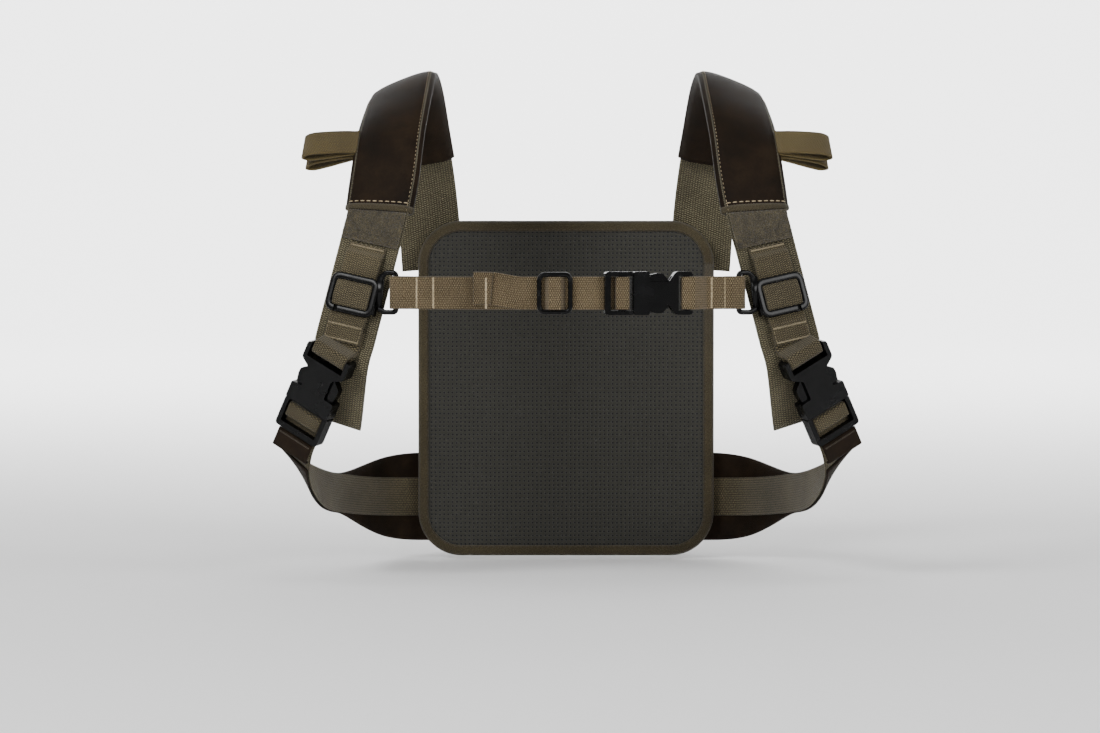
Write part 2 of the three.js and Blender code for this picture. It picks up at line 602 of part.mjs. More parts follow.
function sternumShort() {
  const t = STERNUM_WEB.thick;
  const { outward, inward } = eyeFold(1);
  const bar = STERNUM.mouth + tailBarMiddle(STERNUM_BUCKLE);
  const level = -webLevel(STERNUM_BUCKLE);
  const reach = tailFold(STERNUM_BUCKLE) + 0.2;
  const leave = bar + reach + 1.5;
  return ribbon(
    alongChest(threaded([
      [STERNUM.shortSeamRight, -t - GAP], ...outward, ...inward, [leave + 9, 0, 2], [leave, level + reach, 1],
      [bar - reach, level + reach, 2], [bar - reach, level - reach, 2], [leave, level - reach, 1],
      [leave + 4, -t - GAP, 1], [STERNUM.shortSeamLeft, -t - GAP],
    ])),
    STERNUM_WEB.width, t,
  );
}

function triglide() {
  const inner = STERNUM_WEB.width / 2 + 0.3;
  const outer = inner + TRIGLIDE.rim;
  const half = TRIGLIDE.length / 2;
  const slot = half - TRIGLIDE.bar;
  const centre = TRIGLIDE.centreBar / 2;
  const shape = outline([[-half, -outer, 4.5], [half, -outer, 4.5], [half, outer, 4.5], [-half, outer, 4.5]]);
  return cut(
    solid(plate(shape, 0, TRIGLIDE.thick, 4)),
    block(-slot, -centre, -inner, inner, -1, 9),
    block(centre, slot, -inner, inner, -1, 9),
    block(-centre - 0.1, centre + 0.1, -inner, inner, TRIGLIDE.centreThick, 9),
  );
}

// ---- Side strap ----
function sideTail() {
  const level = webLevel(SIDE_BUCKLE);
  const t = SIDE_WEB.thick;
  const ladder = laddered(SIDE_BUCKLE, 0, level);
  const folded = ladder.tail + t + GAP;
  const end = -SIDE_BUCKLE.ladder - SIDE_TAB;
  return { level, ladder, folded, end, start: -SIDE_BUCKLE.ladder - 1.2 };
}

function sideWebbing() {
  const { level, ladder, folded, end, start } = sideTail();
  const threads = threaded([
    [start, folded], [end, folded, 0.8], [end, ladder.tail, 0.8], ...ladder.corners.toReversed(),
    [-SIDE_BUCKLE.ladder, level],
  ]);
  return ribbon([...refined(threads).map(atSideBuckle), ...side.frames(2, side.length)],
    SIDE_WEB.width, SIDE_WEB.thick);
}

// The laminate facing on the folded end of the side strap.
function strapEnd() {
  const { folded, end, start } = sideTail();
  const off = SIDE_WEB.thick / 2 + GAP + LAMINATE / 2;
  const points = threaded([
    [start, folded + off], [end - off, folded + off, 1], [end - off, folded - off * 0.9]]);
  return ribbon(points.map(atSideBuckle), SIDE_WEB.width, LAMINATE);
}

const facingLift = () => SIDE_WEB.thick / 2 + WING.gap + LAMINATE / 2;
const wingWidth = (share) => THREE.MathUtils.lerp(SIDE_WEB.width, WING.width,
  THREE.MathUtils.smoothstep(share, 0, 0.75));

// ---- Back panel ----
function panelPlate(grow, low, high, hole = null) {
  const shape = outline(box(BACK.width + 2 * grow, BACK.height + 2 * grow, BACK.corner + grow));
  if (hole !== null) {
    shape.holes.push(outline(box(BACK.width + 2 * hole, BACK.height + 2 * hole, BACK.corner + hole)));
  }
  return plate(shape, low, high, 6).rotateX(Math.PI / 2).scale(1, -1, 1);
}

function backPanel() {
  const foamLow = BACK.liner + GAP;
  const group = new THREE.Group();
  group.add(
    mesh("back_liner", closed(panelPlate(0, 0, BACK.liner)), "mesh"),
    mesh("back_foam", closed(panelPlate(-3, foamLow, foamLow + BACK.foam)), "foam"),
    mesh("back_shell", closed(panelPlate(0, SHELL_OUT - LAMINATE, SHELL_OUT)), "laminate"),
    mesh("back_edge_tape", closed(panelPlate(GAP + EDGE_TAPE, 0, SHELL_OUT, GAP)), "oliveWebbing"),
  );
  const rowOut = SHELL_OUT + GAP + LADDER_WEB.thick / 2;
  for (let k = 0; k < ROW.count; k++) {
    const row = new THREE.BoxGeometry(ROW.length, LADDER_WEB.thick, LADDER_WEB.width);
    row.translate(0, rowOut, ROW.top - k * ROW.pitch);
    group.add(mesh(`pouch_row_${k + 1}`, closed(row), "oliveWebbing"));
  }
  return group;
}

// ---- Assembly ----
function oneSide(sideName) {
  const group = new THREE.Group();
  const add = (name, geometry, material) => group.add(mesh(`${name}_${sideName}`, geometry, material));
  const foamLift = -SHOULDER_WEB.thick / 2 - FOAM.gap - FOAM.thick / 2;
  const fieldLift = SHOULDER_WEB.thick / 2 + GAP + LOOP_FIELD.thick / 2;
  add("shoulder_webbing", ribbon(shoulder.frames(0, shoulder.length), SHOULDER_WEB.width, SHOULDER_WEB.thick),
    "oliveWebbing");
  add("pad_cover", padCover(), "laminate");
  add("pad_foam", ribbon(shoulder.frames(PAD.start + FOAM.margin, PAD.end - FOAM.margin, () => foamLift),
    FOAM.width, FOAM.thick), "foam");
  add("pad_end_tape", padBinding(), "oliveWebbing");
  add("loop_field", ribbon(shoulder.frames(LOOP_FIELD.start, LOOP_FIELD.end, () => fieldLift), LOOP_FIELD.width,
    LOOP_FIELD.thick), "loopPile");
  add("ladder_webbing", ribbon(shoulder.frames(LADDER.low, LADDER.top, ladderLift), LADDER_WEB.width,
    LADDER_WEB.thick), "oliveWebbing");
  add("buckle_loop", buckleLoop(), "oliveWebbing");
  add("carry_loop_front", carryLoop(0), "tanWebbing");
  add("carry_loop_rear", carryLoop(1), "tanWebbing");
  add("sternum_slider", slider(), "acetal");
  add("side_webbing", sideWebbing(), "oliveWebbing");
  add("strap_end", strapEnd(), "laminate");
  add("side_facing", ribbon(side.frames(WING.facing, WING.start - 1, facingLift), SIDE_WEB.width, LAMINATE),
    "laminate");
  add("side_wing", ribbon(side.frames(WING.start, side.length, facingLift), wingWidth, LAMINATE), "laminate");
  group.add(buckle({
    socket: `side_socket_${sideName}`, tongue: `side_tongue_${sideName}`,
    arms: [`side_arm_inner_${sideName}`, `side_arm_outer_${sideName}`],
  }, SIDE_BUCKLE, sideMouth, SIDE_AXIS, sideNormal));
  if (sideName === "left") group.scale.x = -1;
  return group;
}

function sternum() {
  const group = new THREE.Group();
  const mouth = chestPoint(STERNUM.mouth, -webLevel(STERNUM_BUCKLE)).p;
  const glide = chestArc(STERNUM.triglide, 1.5 * STERNUM_WEB.thick + 2 * GAP);
  group.add(
    mesh("sternum_webbing_long", sternumLong(), "tanWebbing"),
    mesh("sternum_webbing_short", sternumShort(), "tanWebbing"),
    placed(mesh("sternum_triglide", geometryOf(triglide()), "acetal"), glide.p, glide.tangent, glide.normal),
    buckle({
      socket: "sternum_socket", tongue: "sternum_tongue", arms: ["sternum_arm_upper", "sternum_arm_lower"],
    }, STERNUM_BUCKLE, mouth, buckleFrame.tangent, buckleFrame.normal),
  );
  return group;
}

const harness = new THREE.Group();
harness.add(backPanel(), oneSide("right"), oneSide("left"), sternum());

export default harness;
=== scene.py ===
"""A shoulder harness vest in its worn shape: padded straps, a sternum strap, side straps and a back panel.

Lengths are millimetres until a mesh is made. The wearer faces -Y and +Z is up. Each side is drawn once, at
positive x, and the left one is its mirror image.
"""

import json
import math

import bpy
import numpy as np
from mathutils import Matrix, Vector

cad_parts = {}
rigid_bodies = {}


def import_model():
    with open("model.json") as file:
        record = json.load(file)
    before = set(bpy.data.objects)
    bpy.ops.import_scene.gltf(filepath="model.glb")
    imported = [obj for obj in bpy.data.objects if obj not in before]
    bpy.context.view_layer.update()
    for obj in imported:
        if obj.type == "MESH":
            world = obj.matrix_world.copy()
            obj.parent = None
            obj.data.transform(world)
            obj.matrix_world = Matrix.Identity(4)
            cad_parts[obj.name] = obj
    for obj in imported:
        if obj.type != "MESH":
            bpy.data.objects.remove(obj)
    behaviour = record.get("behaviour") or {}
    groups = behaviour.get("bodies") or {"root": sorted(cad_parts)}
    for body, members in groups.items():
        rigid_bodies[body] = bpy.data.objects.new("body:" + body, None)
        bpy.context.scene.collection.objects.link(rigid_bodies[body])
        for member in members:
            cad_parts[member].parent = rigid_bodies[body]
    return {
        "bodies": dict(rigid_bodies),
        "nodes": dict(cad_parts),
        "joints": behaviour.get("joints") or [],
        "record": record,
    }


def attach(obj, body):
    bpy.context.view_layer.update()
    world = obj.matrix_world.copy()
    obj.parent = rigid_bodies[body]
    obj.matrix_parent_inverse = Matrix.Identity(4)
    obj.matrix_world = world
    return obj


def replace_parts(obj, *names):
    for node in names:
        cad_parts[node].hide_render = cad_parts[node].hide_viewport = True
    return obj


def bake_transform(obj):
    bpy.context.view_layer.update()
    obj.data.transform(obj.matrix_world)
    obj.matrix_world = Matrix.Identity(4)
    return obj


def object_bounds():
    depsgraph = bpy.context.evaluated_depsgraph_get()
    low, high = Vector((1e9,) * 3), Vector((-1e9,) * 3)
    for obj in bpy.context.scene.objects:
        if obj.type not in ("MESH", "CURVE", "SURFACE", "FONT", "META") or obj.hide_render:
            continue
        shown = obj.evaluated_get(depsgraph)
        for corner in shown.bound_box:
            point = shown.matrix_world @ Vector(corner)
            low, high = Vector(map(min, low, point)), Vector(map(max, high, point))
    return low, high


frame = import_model()
CAD_BOX = [list(corner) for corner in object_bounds()]
NODES = frame["nodes"]
SIDES = {"right": 1.0, "left": -1.0}
UP = np.array([0.0, 0.0, 1.0])


# ---- Camera ----
CHEST_FRONT_Y = -226.0
DISTANCE = 2600.0
VIEW_WIDTH = 666.6
PITCH = math.radians(2.3)

camera = bpy.data.objects.new("camera", bpy.data.cameras.new("camera"))
bpy.context.scene.collection.objects.link(camera)
camera.location = (
    -0.0106, (CHEST_FRONT_Y - DISTANCE * math.cos(PITCH)) / 1000, (23.6 + DISTANCE * math.sin(PITCH)) / 1000
)
camera.rotation_euler = (math.pi / 2 - PITCH, 0, 0)
camera.data.sensor_width = 36.0
camera.data.lens = 36.0 * DISTANCE / VIEW_WIDTH
camera.data.clip_end = 50.0
bpy.context.scene.camera = camera


# ---- Sizes shared with the solids ----
GAP = 0.3
SHOULDER = {"width": 40.0, "thick": 1.6}
LADDER = {
    "width": 25.0, "thick": 1.4, "low": 52.0, "free_low": 62.0, "free_top": 111.0, "top": 114.0, "slider": 82.0,
}
LOOP_FIELD = {"start": 115.5, "end": 136.0, "width": 38.0, "thick": 1.4, "loops": 1500}
CARRY = {"at": 190.0, "width": 20.0, "thick": 1.2, "edge": 22.5, "reach": 32.0, "rise": 2.7, "root": 0.85}
STERNUM = {"width": 20.0, "thick": 1.3}
SIDE = {"width": 25.0, "thick": 1.4}
SLIDER = {"length": 20.2, "width": 28.6, "corner": 4.4, "rail": 29.4, "eye_height": 24.2, "end_bar": 18.8}
TRIGLIDE = {"length": 18.8, "width": 22.8, "corner": 3.9}
PAD = {"start": 137.0, "end": 372.0, "width": 43.8, "low": -6.4, "high": 2.3, "crown": 0.9, "flange": 1.6}
PANEL = {"width": 190.0, "height": 216.0, "corner": 26.0, "out": 8.6}


# ---- Vectors and curves ----
def unit(v):
    v = np.asarray(v, float)
    return v / np.linalg.norm(v, axis=-1, keepdims=True)


def distances(points):
    """How far each point of a line is from its start, along the line."""
    return np.concatenate([[0], np.cumsum(np.linalg.norm(np.diff(points, axis=0), axis=1))])


def read_at(s, run, rows):
    """Rows read at distances s, where run holds the distance of each."""
    return np.stack([np.interp(s, run, rows[:, k]) for k in range(3)], -1)


def curve_points(points, t, centripetal):
    """Points of a Catmull-Rom curve at t, from 0 to 1."""
    points = np.asarray(points, float)
    padded = np.vstack([2 * points[0] - points[1], points, 2 * points[-1] - points[-2]])
    place = np.clip(t, 0, 1) * (len(points) - 1)
    i = np.minimum(place.astype(int), len(points) - 2)
    w = (place - i)[:, None]
    a, b, c, d = (padded[i + k] for k in range(4))
    if centripetal:
        ab, bc, cd = (
            np.maximum(np.linalg.norm(q - p, axis=1, keepdims=True) ** 0.5, 1e-4)
            for p, q in ((a, b), (b, c), (c, d))
        )
        start = ((b - a) / ab - (c - a) / (ab + bc) + (c - b) / bc) * bc
        end = ((c - b) / bc - (d - b) / (bc + cd) + (d - c) / cd) * bc
    else:
        start, end = (c - a) / 2, (d - b) / 2
    return b + start * w + (3 * (c - b) - 2 * start - end) * w**2 + (2 * (b - c) + start + end) * w**3


class Route:
    """A centre line with a width direction, measured by distance along it."""

    def __init__(self, points, widths):
        t = np.linspace(0, 1, 4001)
        self.line = curve_points(points, t, True)
        self.across = curve_points(widths, t, False)
        self.run = distances(self.line)
        self.length = self.run[-1]

    def at(self, s, lift=0.0):
        """Points, width directions and outward normals at distances s, moved out by lift."""
        s = np.atleast_1d(np.asarray(s, float))
        near = 0.4
        tangent = unit(read_at(s + near, self.run, self.line) - read_at(s - near, self.run, self.line))
        w = read_at(s, self.run, self.across)
        w = unit(w - tangent * (w * tangent).sum(1, keepdims=True))
        n = np.cross(tangent, w)
        return read_at(s, self.run, self.line) + n * np.reshape(lift, (-1, 1)), w, n

    def frame(self, s, lift=0.0):
        """The point, width direction and outward normal at one distance."""
        return tuple(rows[0] for rows in self.at(s, lift))


def smooth(x, low, high):
    x = np.clip((np.asarray(x, float) - low) / (high - low), 0, 1)
    return x * x * (3 - 2 * x)


CHEST_LOW = np.array([140.4, -196.6, 22.4])
CHEST_HIGH = np.array([117.1, -187.5, 113.0])
SHOULDER_OUT = PANEL["out"] + GAP + SHOULDER["thick"] / 2
SIDE_OUT = PANEL["out"] + GAP + SIDE["thick"] / 2


def chest_yaw(degrees):
    return [-math.cos(math.radians(degrees)), -math.sin(math.radians(degrees)), 0]


shoulder = Route(
    [[144.6, -183, -12]]
    + [CHEST_LOW + (CHEST_HIGH - CHEST_LOW) * k / 6 for k in range(7)]
    + [[113.2, -176, 138], [110.3, -154, 164], [106.8, -124, 185], [104, -90, 198], [101.5, -54, 192]]
    + [[98, -18, 168], [94, 4, 142], [91, SHOULDER_OUT, 116], [88, SHOULDER_OUT, 76]],
    [chest_yaw(a) for a in (28, 22, 20, 20, 20, 20, 20, 18)]
    + [[-0.97, -0.2, 0.03], [-0.96, -0.14, 0.14], [-0.93, -0.06, 0.27], [-0.91, 0, 0.36], [-0.93, 0.04, 0.32]]
    + [[-0.97, 0.05, 0.2], [-0.99, 0.03, 0.08], [-1, 0, 0], [-1, 0, 0]],
)

# Release buckles: sizes along the axis from the mouth, and the level of the main ply under the middle plane.
STERNUM_BUCKLE = {
    "web": STERNUM, "tail_bar": 32.9, "bar_half": 1.7, "length": 36.2, "ladder": 17.6, "near": 3.8, "mid": 5.5,
}
SIDE_BUCKLE = {
    "web": SIDE, "tail_bar": 36.0, "bar_half": 1.8, "length": 39.5, "ladder": 19.5, "near": 4.2, "mid": 6.3,
}
SIDE_MOUTH = np.array([158.2, -192.1, -2.6])
SIDE_AXIS = unit([-0.38, -0.31, 0.87])
SIDE_NORMAL = np.array([math.sin(math.radians(24)), -math.cos(math.radians(24)), 0])
SIDE_NORMAL = unit(SIDE_NORMAL - SIDE_AXIS * (SIDE_NORMAL @ SIDE_AXIS))
SIDE_ACROSS = np.cross(SIDE_AXIS, SIDE_NORMAL)


def web_level(buckle):
    return -2 * buckle["web"]["thick"] - 2 * GAP


def tail_fold(buckle):
    return buckle["bar_half"] + GAP + buckle["web"]["thick"] / 2


side_start = SIDE_MOUTH - SIDE_AXIS * SIDE_BUCKLE["ladder"] + SIDE_NORMAL * web_level(SIDE_BUCKLE)
side = Route(
    [side_start, side_start - SIDE_AXIS * 7, [167.5, -172, -35], [164, -156, -44.5], [158.5, -132, -53]]
    + [[152, -100, -60], [143.5, -60, -65], [130, -25, -69], [114, 0, -71.3]]
    + [[98, SIDE_OUT, -72], [80, SIDE_OUT, -72], [62, SIDE_OUT, -72]],
    [SIDE_ACROSS, SIDE_ACROSS, [0.66, 0.42, 0.62], [0.45, 0.42, 0.79], [0.24, 0.34, 0.91], [0.07, 0.24, 0.97]]
    + [[0, 0.14, 0.99], [-0.01, 0.06, 1], [-0.01, 0.02, 1], [0, 0, 1], [0, 0, 1], [0, 0, 1]],
)

# The sternum strap's arc, and the straight line that its buckle keeps.
ARC = {"radius": 310.0, "centre_y": 84.4, "height": 68.0, "eye": 107.0, "mouth": 39.2, "triglide": -7.6}


def arc_frame(s, lift=0.0):
    a = np.asarray(s, float) / ARC["radius"]
    zero = np.zeros_like(a)
    normal = np.stack([np.sin(a), -np.cos(a), zero], -1)
    tangent = np.stack([np.cos(a), np.sin(a), zero], -1)
    centre = np.array([0, ARC["centre_y"], ARC["height"]])
    return centre + normal * (ARC["radius"] + np.asarray(lift))[..., None], tangent, normal


BUCKLE_MIDDLE = ARC["mouth"] + (STERNUM_BUCKLE["length"] - STERNUM_BUCKLE["ladder"]) / 2
BUCKLE_POINT, BUCKLE_TANGENT, BUCKLE_NORMAL = arc_frame(BUCKLE_MIDDLE, -0.4)


def chest_points(flat):
    """Points of the sternum strap, from rows of distance along the chest and distance out."""
    s, out = flat[:, 0], flat[:, 1]
    arc = arc_frame(s, out)[0]
    straight = BUCKLE_POINT + np.outer(s - BUCKLE_MIDDLE, BUCKLE_TANGENT) + np.outer(out, BUCKLE_NORMAL)
    start, end = ARC["mouth"] - STERNUM_BUCKLE["ladder"], ARC["mouth"] + STERNUM_BUCKLE["length"]
    past = np.maximum(start - s, s - end)
    share = (1 - smooth(past, 1, 9))[:, None]
    return arc * (1 - share) + straight * share


def side_buckle_points(flat):
    """Points threaded through the side buckle, from rows of distance along its axis and distance out."""
    return SIDE_MOUTH + np.outer(flat[:, 0], SIDE_AXIS) + np.outer(flat[:, 1], SIDE_NORMAL)


def threaded(corners, turns=7, step=2.5):
    """A path of [along, out] corners, each rounded to the radius given with it, in short steps."""
    corners = [list(c) + [1.2] * (3 - len(c)) for c in corners]
    path = [np.array(corners[0][:2], float)]
    for before, here, after in zip(corners, corners[1:], corners[2:]):
        at = np.array(here[:2], float)
        back, on = unit(np.array(before[:2]) - at), unit(np.array(after[:2]) - at)
        angle = math.acos(np.clip(back @ on, -1, 1))
        reach = here[2] / math.tan(angle / 2)
        start, end = at + back * reach, at + on * reach
        for t in np.linspace(0, 1, turns):
            path.append(start * (1 - t) ** 2 + at * 2 * t * (1 - t) + end * t**2)
    path.append(np.array(corners[-1][:2], float))
    fine = [path[0]]
    for a, b in zip(path, path[1:]):
        parts = max(1, math.ceil(np.linalg.norm(b - a) / step))
        fine += [a + (b - a) * k / parts for k in range(1, parts + 1)]
    keep = [fine[0]] + [q for p, q in zip(fine, fine[1:]) if np.linalg.norm(q - p) > 1e-4]
    return np.array(keep)


def path_frames(points, across):
    """Width directions and normals for a path whose width direction is nearly known."""
    across = np.broadcast_to(across, points.shape)
    tangent = unit(np.gradient(points, axis=0))
    w = unit(across - tangent * (across * tangent).sum(1, keepdims=True))
    return points, w, np.cross(tangent, w)


# ---- Materials ----
def linear(code):
    """A colour socket's value from an sRGB hex code."""
    parts = [int(code[k : k + 2], 16) / 255 for k in (1, 3, 5)]
    return [c / 12.92 if c <= 0.04045 else ((c + 0.055) / 1.055) ** 2.4 for c in parts] + [1.0]


def give(tree, socket, value):
    """Links an output, or a node's first output, to a socket, or sets the socket's constant."""
    if isinstance(value, bpy.types.Node):
        value = value.outputs[0]
    if isinstance(value, bpy.types.NodeSocket):
        tree.links.new(value, socket)
    else:
        socket.default_value = value


def add(tree, kind, inputs=None, **settings):
    """Adds a node of that kind, with its settings, and gives its inputs values or links."""
    made = tree.nodes.new("ShaderNode" + kind)
    for name, value in settings.items():
        setattr(made, name, value)
    for name, value in (inputs or {}).items():
        give(tree, made.inputs[name], value)
    return made


def maths(tree, operation, *values):
    return add(tree, "Math", dict(enumerate(values)), operation=operation)


def shades(tree, factor, *stops):
    """A colour ramp through (place, hex code) stops."""
    ramp = add(tree, "ValToRGB", {"Fac": factor})
    elements = ramp.color_ramp.elements
    while len(elements) < len(stops):
        elements.new(0.5)
    for element, (place, code) in zip(elements, stops):
        element.position = place
        element.color = linear(code)
    return ramp


def new_material(name, paint, *values):
    """A material whose nodes are laid by one of the functions below."""
    made = bpy.data.materials.new(name)
    made.use_nodes = True
    paint(made.node_tree, made.node_tree.nodes["Principled BSDF"], *values)
    return made


def set_inputs(tree, shader, **values):
    for name, value in values.items():
        give(tree, shader.inputs[name.replace("_", " ")], value)


def object_noise(tree, scale, detail=3.0, roughness=0.5):
    """Noise in the object's own space, with its scale in features per metre."""
    where = add(tree, "TexCoord").outputs["Object"]
    return add(tree, "TexNoise", {"Vector": where, "Scale": scale, "Detail": detail, "Roughness": roughness})


def woven_nylon(tree, shader, light, base, dark, rib, cord):
    """Woven nylon webbing: round weft ribs across the strap, bound by cords that run along it. The ribs of
    neighbouring cords are half a step apart, so they zigzag. The eye sees a matt, slightly fuzzy cloth with
    uneven yarns. The rib height is also put into the colour as painted shade: lighter rib tops and darker
    gaps between them. rib and cord are in mm."""
    uv = add(tree, "UVMap", uv_map="strap")
    parts = add(tree, "SeparateXYZ", {0: uv})
    wander = add(tree, "TexNoise", {"Vector": uv, "Scale": 0.3, "Detail": 2.0})
    along = maths(tree, "DIVIDE", parts.outputs["Y"], rib)
    along = maths(tree, "MULTIPLY_ADD", wander, 0.9, along)
    across = maths(tree, "DIVIDE", parts.outputs["X"], cord)
    column = maths(tree, "FLOOR", across)
    shift = maths(tree, "MULTIPLY_ADD", column, 0.5, along)
    swells = []
    for place in (shift, across):
        part = maths(tree, "FRACT", place)
        wave = maths(tree, "MULTIPLY", part, math.pi)
        swells.append(maths(tree, "SINE", wave))
    bound = maths(tree, "MULTIPLY_ADD", swells[1], 0.45, 0.55)
    height = maths(tree, "MULTIPLY", swells[0], bound)
    yarn = add(tree, "TexNoise", {"Vector": uv, "Scale": 1.3, "Detail": 4.0, "Roughness": 0.7})
    # Painted shade: the rib height goes into the colour too, so rib tops come out lighter and the gaps between
    # ribs darker.
    painted_weave_shade = maths(tree, "MULTIPLY", height, 0.5)
    tone = maths(tree, "MULTIPLY_ADD", yarn, 0.9, painted_weave_shade)
    wear = add(tree, "MapRange", {"Value": object_noise(tree, 26.0, 5.0), "To Min": 0.75, "To Max": 1.1})
    tone = maths(tree, "MULTIPLY", tone, wear)
    colour = shades(tree, tone, (0.42, dark), (0.66, base), (0.92, light))
    fuzz = maths(tree, "MULTIPLY_ADD", yarn, 0.5, height)
    bump = add(tree, "Bump", {"Height": fuzz, "Strength": 0.8, "Distance": 0.0004})
    set_inputs(tree, shader, Base_Color=colour, Roughness=0.88, Normal=bump)
    set_inputs(tree, shader, Sheen_Weight=0.12, Sheen_Roughness=0.5, Specular_IOR_Level=0.2)


def coated_nylon(tree, shader, light, base, dark):
    """Cut laminate: a fine plain-weave nylon with a thin coating, which repeats each 0.9 mm. The eye sees a
    dark brown, dull satin cloth that is worn paler in patches."""
    uv = add(tree, "UVMap", uv_map="strap")
    parts = add(tree, "SeparateXYZ", {0: uv})
    swells = []
    for axis in ("X", "Y"):
        wave = maths(tree, "MULTIPLY", parts.outputs[axis], 2 * math.pi / 0.9)
        swells.append(maths(tree, "SINE", wave))
    grain = maths(tree, "MULTIPLY", swells[0], swells[1])
    blotch = object_noise(tree, 38.0, 6.0, 0.62)
    fleck = object_noise(tree, 700.0, 3.0, 0.6)
    tone = maths(tree, "MULTIPLY_ADD", grain, 0.09, blotch)
    tone = maths(tree, "MULTIPLY_ADD", fleck, 0.25, tone)
    colour = shades(tree, tone, (0.38, dark), (0.62, base), (0.92, light))
    crease = object_noise(tree, 55.0, 2.0, 0.4)
    relief = maths(tree, "MULTIPLY_ADD", crease, 5.0, grain)
    bump = add(tree, "Bump", {"Height": relief, "Strength": 0.45, "Distance": 0.00022})
    gloss = add(tree, "MapRange", {"Value": blotch, "To Min": 0.5, "To Max": 0.68})
    set_inputs(tree, shader, Base_Color=colour, Roughness=gloss, Normal=bump, Specular_IOR_Level=0.1)


def moulded_acetal(tree, shader, base, worn):
    """Injection-moulded acetal, with its mould's fine spark-eroded grain. The eye sees a black satin with
    paler rubbed edges."""
    grain = object_noise(tree, 2600.0, 2.0, 0.5)
    cloud = object_noise(tree, 90.0, 3.0, 0.55)
    edge = add(tree, "NewGeometry").outputs["Pointiness"]
    rub = add(tree, "MapRange", {"Value": edge, "From Min": 0.56, "From Max": 0.7})
    spread = maths(tree, "MULTIPLY", rub, cloud)
    colour = shades(tree, spread, (0.0, base), (0.7, worn))
    gloss = add(
        tree, "MapRange", {"Value": cloud, "From Min": 0.3, "From Max": 0.7, "To Min": 0.2, "To Max": 0.3}
    )
    bump = add(tree, "Bump", {"Height": grain, "Strength": 0.14, "Distance": 0.0001})
    set_inputs(tree, shader, Base_Color=colour, Roughness=gloss, Normal=bump, IOR=1.45, Specular_IOR_Level=0.2)


def brushed_pile(tree, shader, light, base, dark):
    """Loop tape: a brushed nylon pile of tangled loops, quite matt."""
    tangle = object_noise(tree, 1400.0, 5.0, 0.7)
    clump = object_noise(tree, 260.0, 3.0, 0.6)
    tone = maths(tree, "MULTIPLY_ADD", clump, 0.25, tangle)
    colour = shades(tree, tone, (0.46, dark), (0.63, base), (0.82, light))
    bump = add(tree, "Bump", {"Height": tone, "Strength": 0.9, "Distance": 0.0006})
    set_inputs(tree, shader, Base_Color=colour, Roughness=0.95, Normal=bump)
    set_inputs(tree, shader, Sheen_Weight=0.35, Sheen_Roughness=0.6, Specular_IOR_Level=0.2)


def spun_thread(tree, shader, light, base):
    """Bonded polyester thread: a hard, slightly shiny twist."""
    tone = object_noise(tree, 900.0, 3.0, 0.6)
    colour = shades(tree, tone, (0.35, base), (0.65, light))
    bump = add(tree, "Bump", {"Height": tone, "Strength": 0.5, "Distance": 0.0001})
    set_inputs(tree, shader, Base_Color=colour, Roughness=0.62, Normal=bump, Sheen_Weight=0.15)


def spacer_mesh(tree, shader, light, dark):
    """Spacer mesh: a knitted face with round holes 3 mm apart over darker threads."""
    uv = add(tree, "UVMap", uv_map="strap")
    cells = add(tree, "TexVoronoi", {"Vector": uv, "Scale": 0.36, "Randomness": 0.12})
    hole = add(tree, "MapRange", {"Value": cells, "From Min": 0.2, "From Max": 0.36})
    colour = shades(tree, hole, (0.0, dark), (0.9, light))
    bump = add(tree, "Bump", {"Height": hole, "Strength": 0.9, "Distance": 0.0006})
    set_inputs(tree, shader, Base_Color=colour, Roughness=0.88, Normal=bump, Sheen_Weight=0.2)


def closed_cell_foam(tree, shader, light, dark):
    """Closed-cell foam: matt, with pinprick cells on its cut faces."""
    where = add(tree, "TexCoord").outputs["Object"]
    cells = add(tree, "TexVoronoi", {"Vector": where, "Scale": 900.0})
    colour = shades(tree, cells, (0.1, dark), (0.6, light))
    bump = add(tree, "Bump", {"Height": cells, "Strength": 0.5, "Distance": 0.0003})
    set_inputs(tree, shader, Base_Color=colour, Roughness=0.95, Normal=bump)


def matt_paint(tree, shader, colour):
    set_inputs(tree, shader, Base_Color=linear(colour), Roughness=0.95)


# Each finish: its material, its slot, the function that lays its nodes and that function's values.
LOOKS = {
    "wide_webbing": (
        "woven_nylon_olive", "olive_webbing", woven_nylon, "#79725a", "#3f3a2b", "#100e09", 1.3, 1.7
    ),
    "narrow_webbing": (
        "woven_nylon_olive_narrow", "olive_webbing", woven_nylon, "#70664d", "#3c3627", "#0f0c07", 1.15, 1.5
    ),
    "chest_webbing": (
        "woven_nylon_coyote", "tan_webbing", woven_nylon, "#88785c", "#4f432f", "#1a140c", 1.05, 1.35
    ),
    "loop_webbing": (
        "woven_nylon_khaki", "tan_webbing", woven_nylon, "#78693f", "#4c4026", "#1c160c", 1.0, 1.3
    ),
    "edge_tape": (
        "woven_nylon_tape", "olive_webbing", woven_nylon, "#5a513a", "#3a3323", "#120f09", 0.8, 0.9
    ),
    "laminate": ("coated_nylon_brown", "laminate", coated_nylon, "#2c2115", "#1c130a", "#0f0a05"),
    "pile": ("brushed_loop_pile", "loop_pile", brushed_pile, "#6a6040", "#3a321f", "#0d0a05"),
    "acetal": ("moulded_acetal_black", "acetal", moulded_acetal, "#020202", "#131415"),
    "tan_thread": ("polyester_thread_tan", "tan_webbing", spun_thread, "#bfae8e", "#8f7e5e"),
    "khaki_thread": ("polyester_thread_khaki", "tan_webbing", spun_thread, "#94876a", "#6a5f48"),
    "brown_thread": ("polyester_thread_brown", "olive_webbing", spun_thread, "#4a3f2c", "#2a2216"),
    "mesh": ("knitted_spacer_mesh", "mesh", spacer_mesh, "#2a2922", "#080807"),
    "foam": ("closed_cell_foam", "foam", closed_cell_foam, "#262626", "#141414"),
}
FINISH = {key: new_material(name, *paint) for key, (name, _, *paint) in LOOKS.items()}


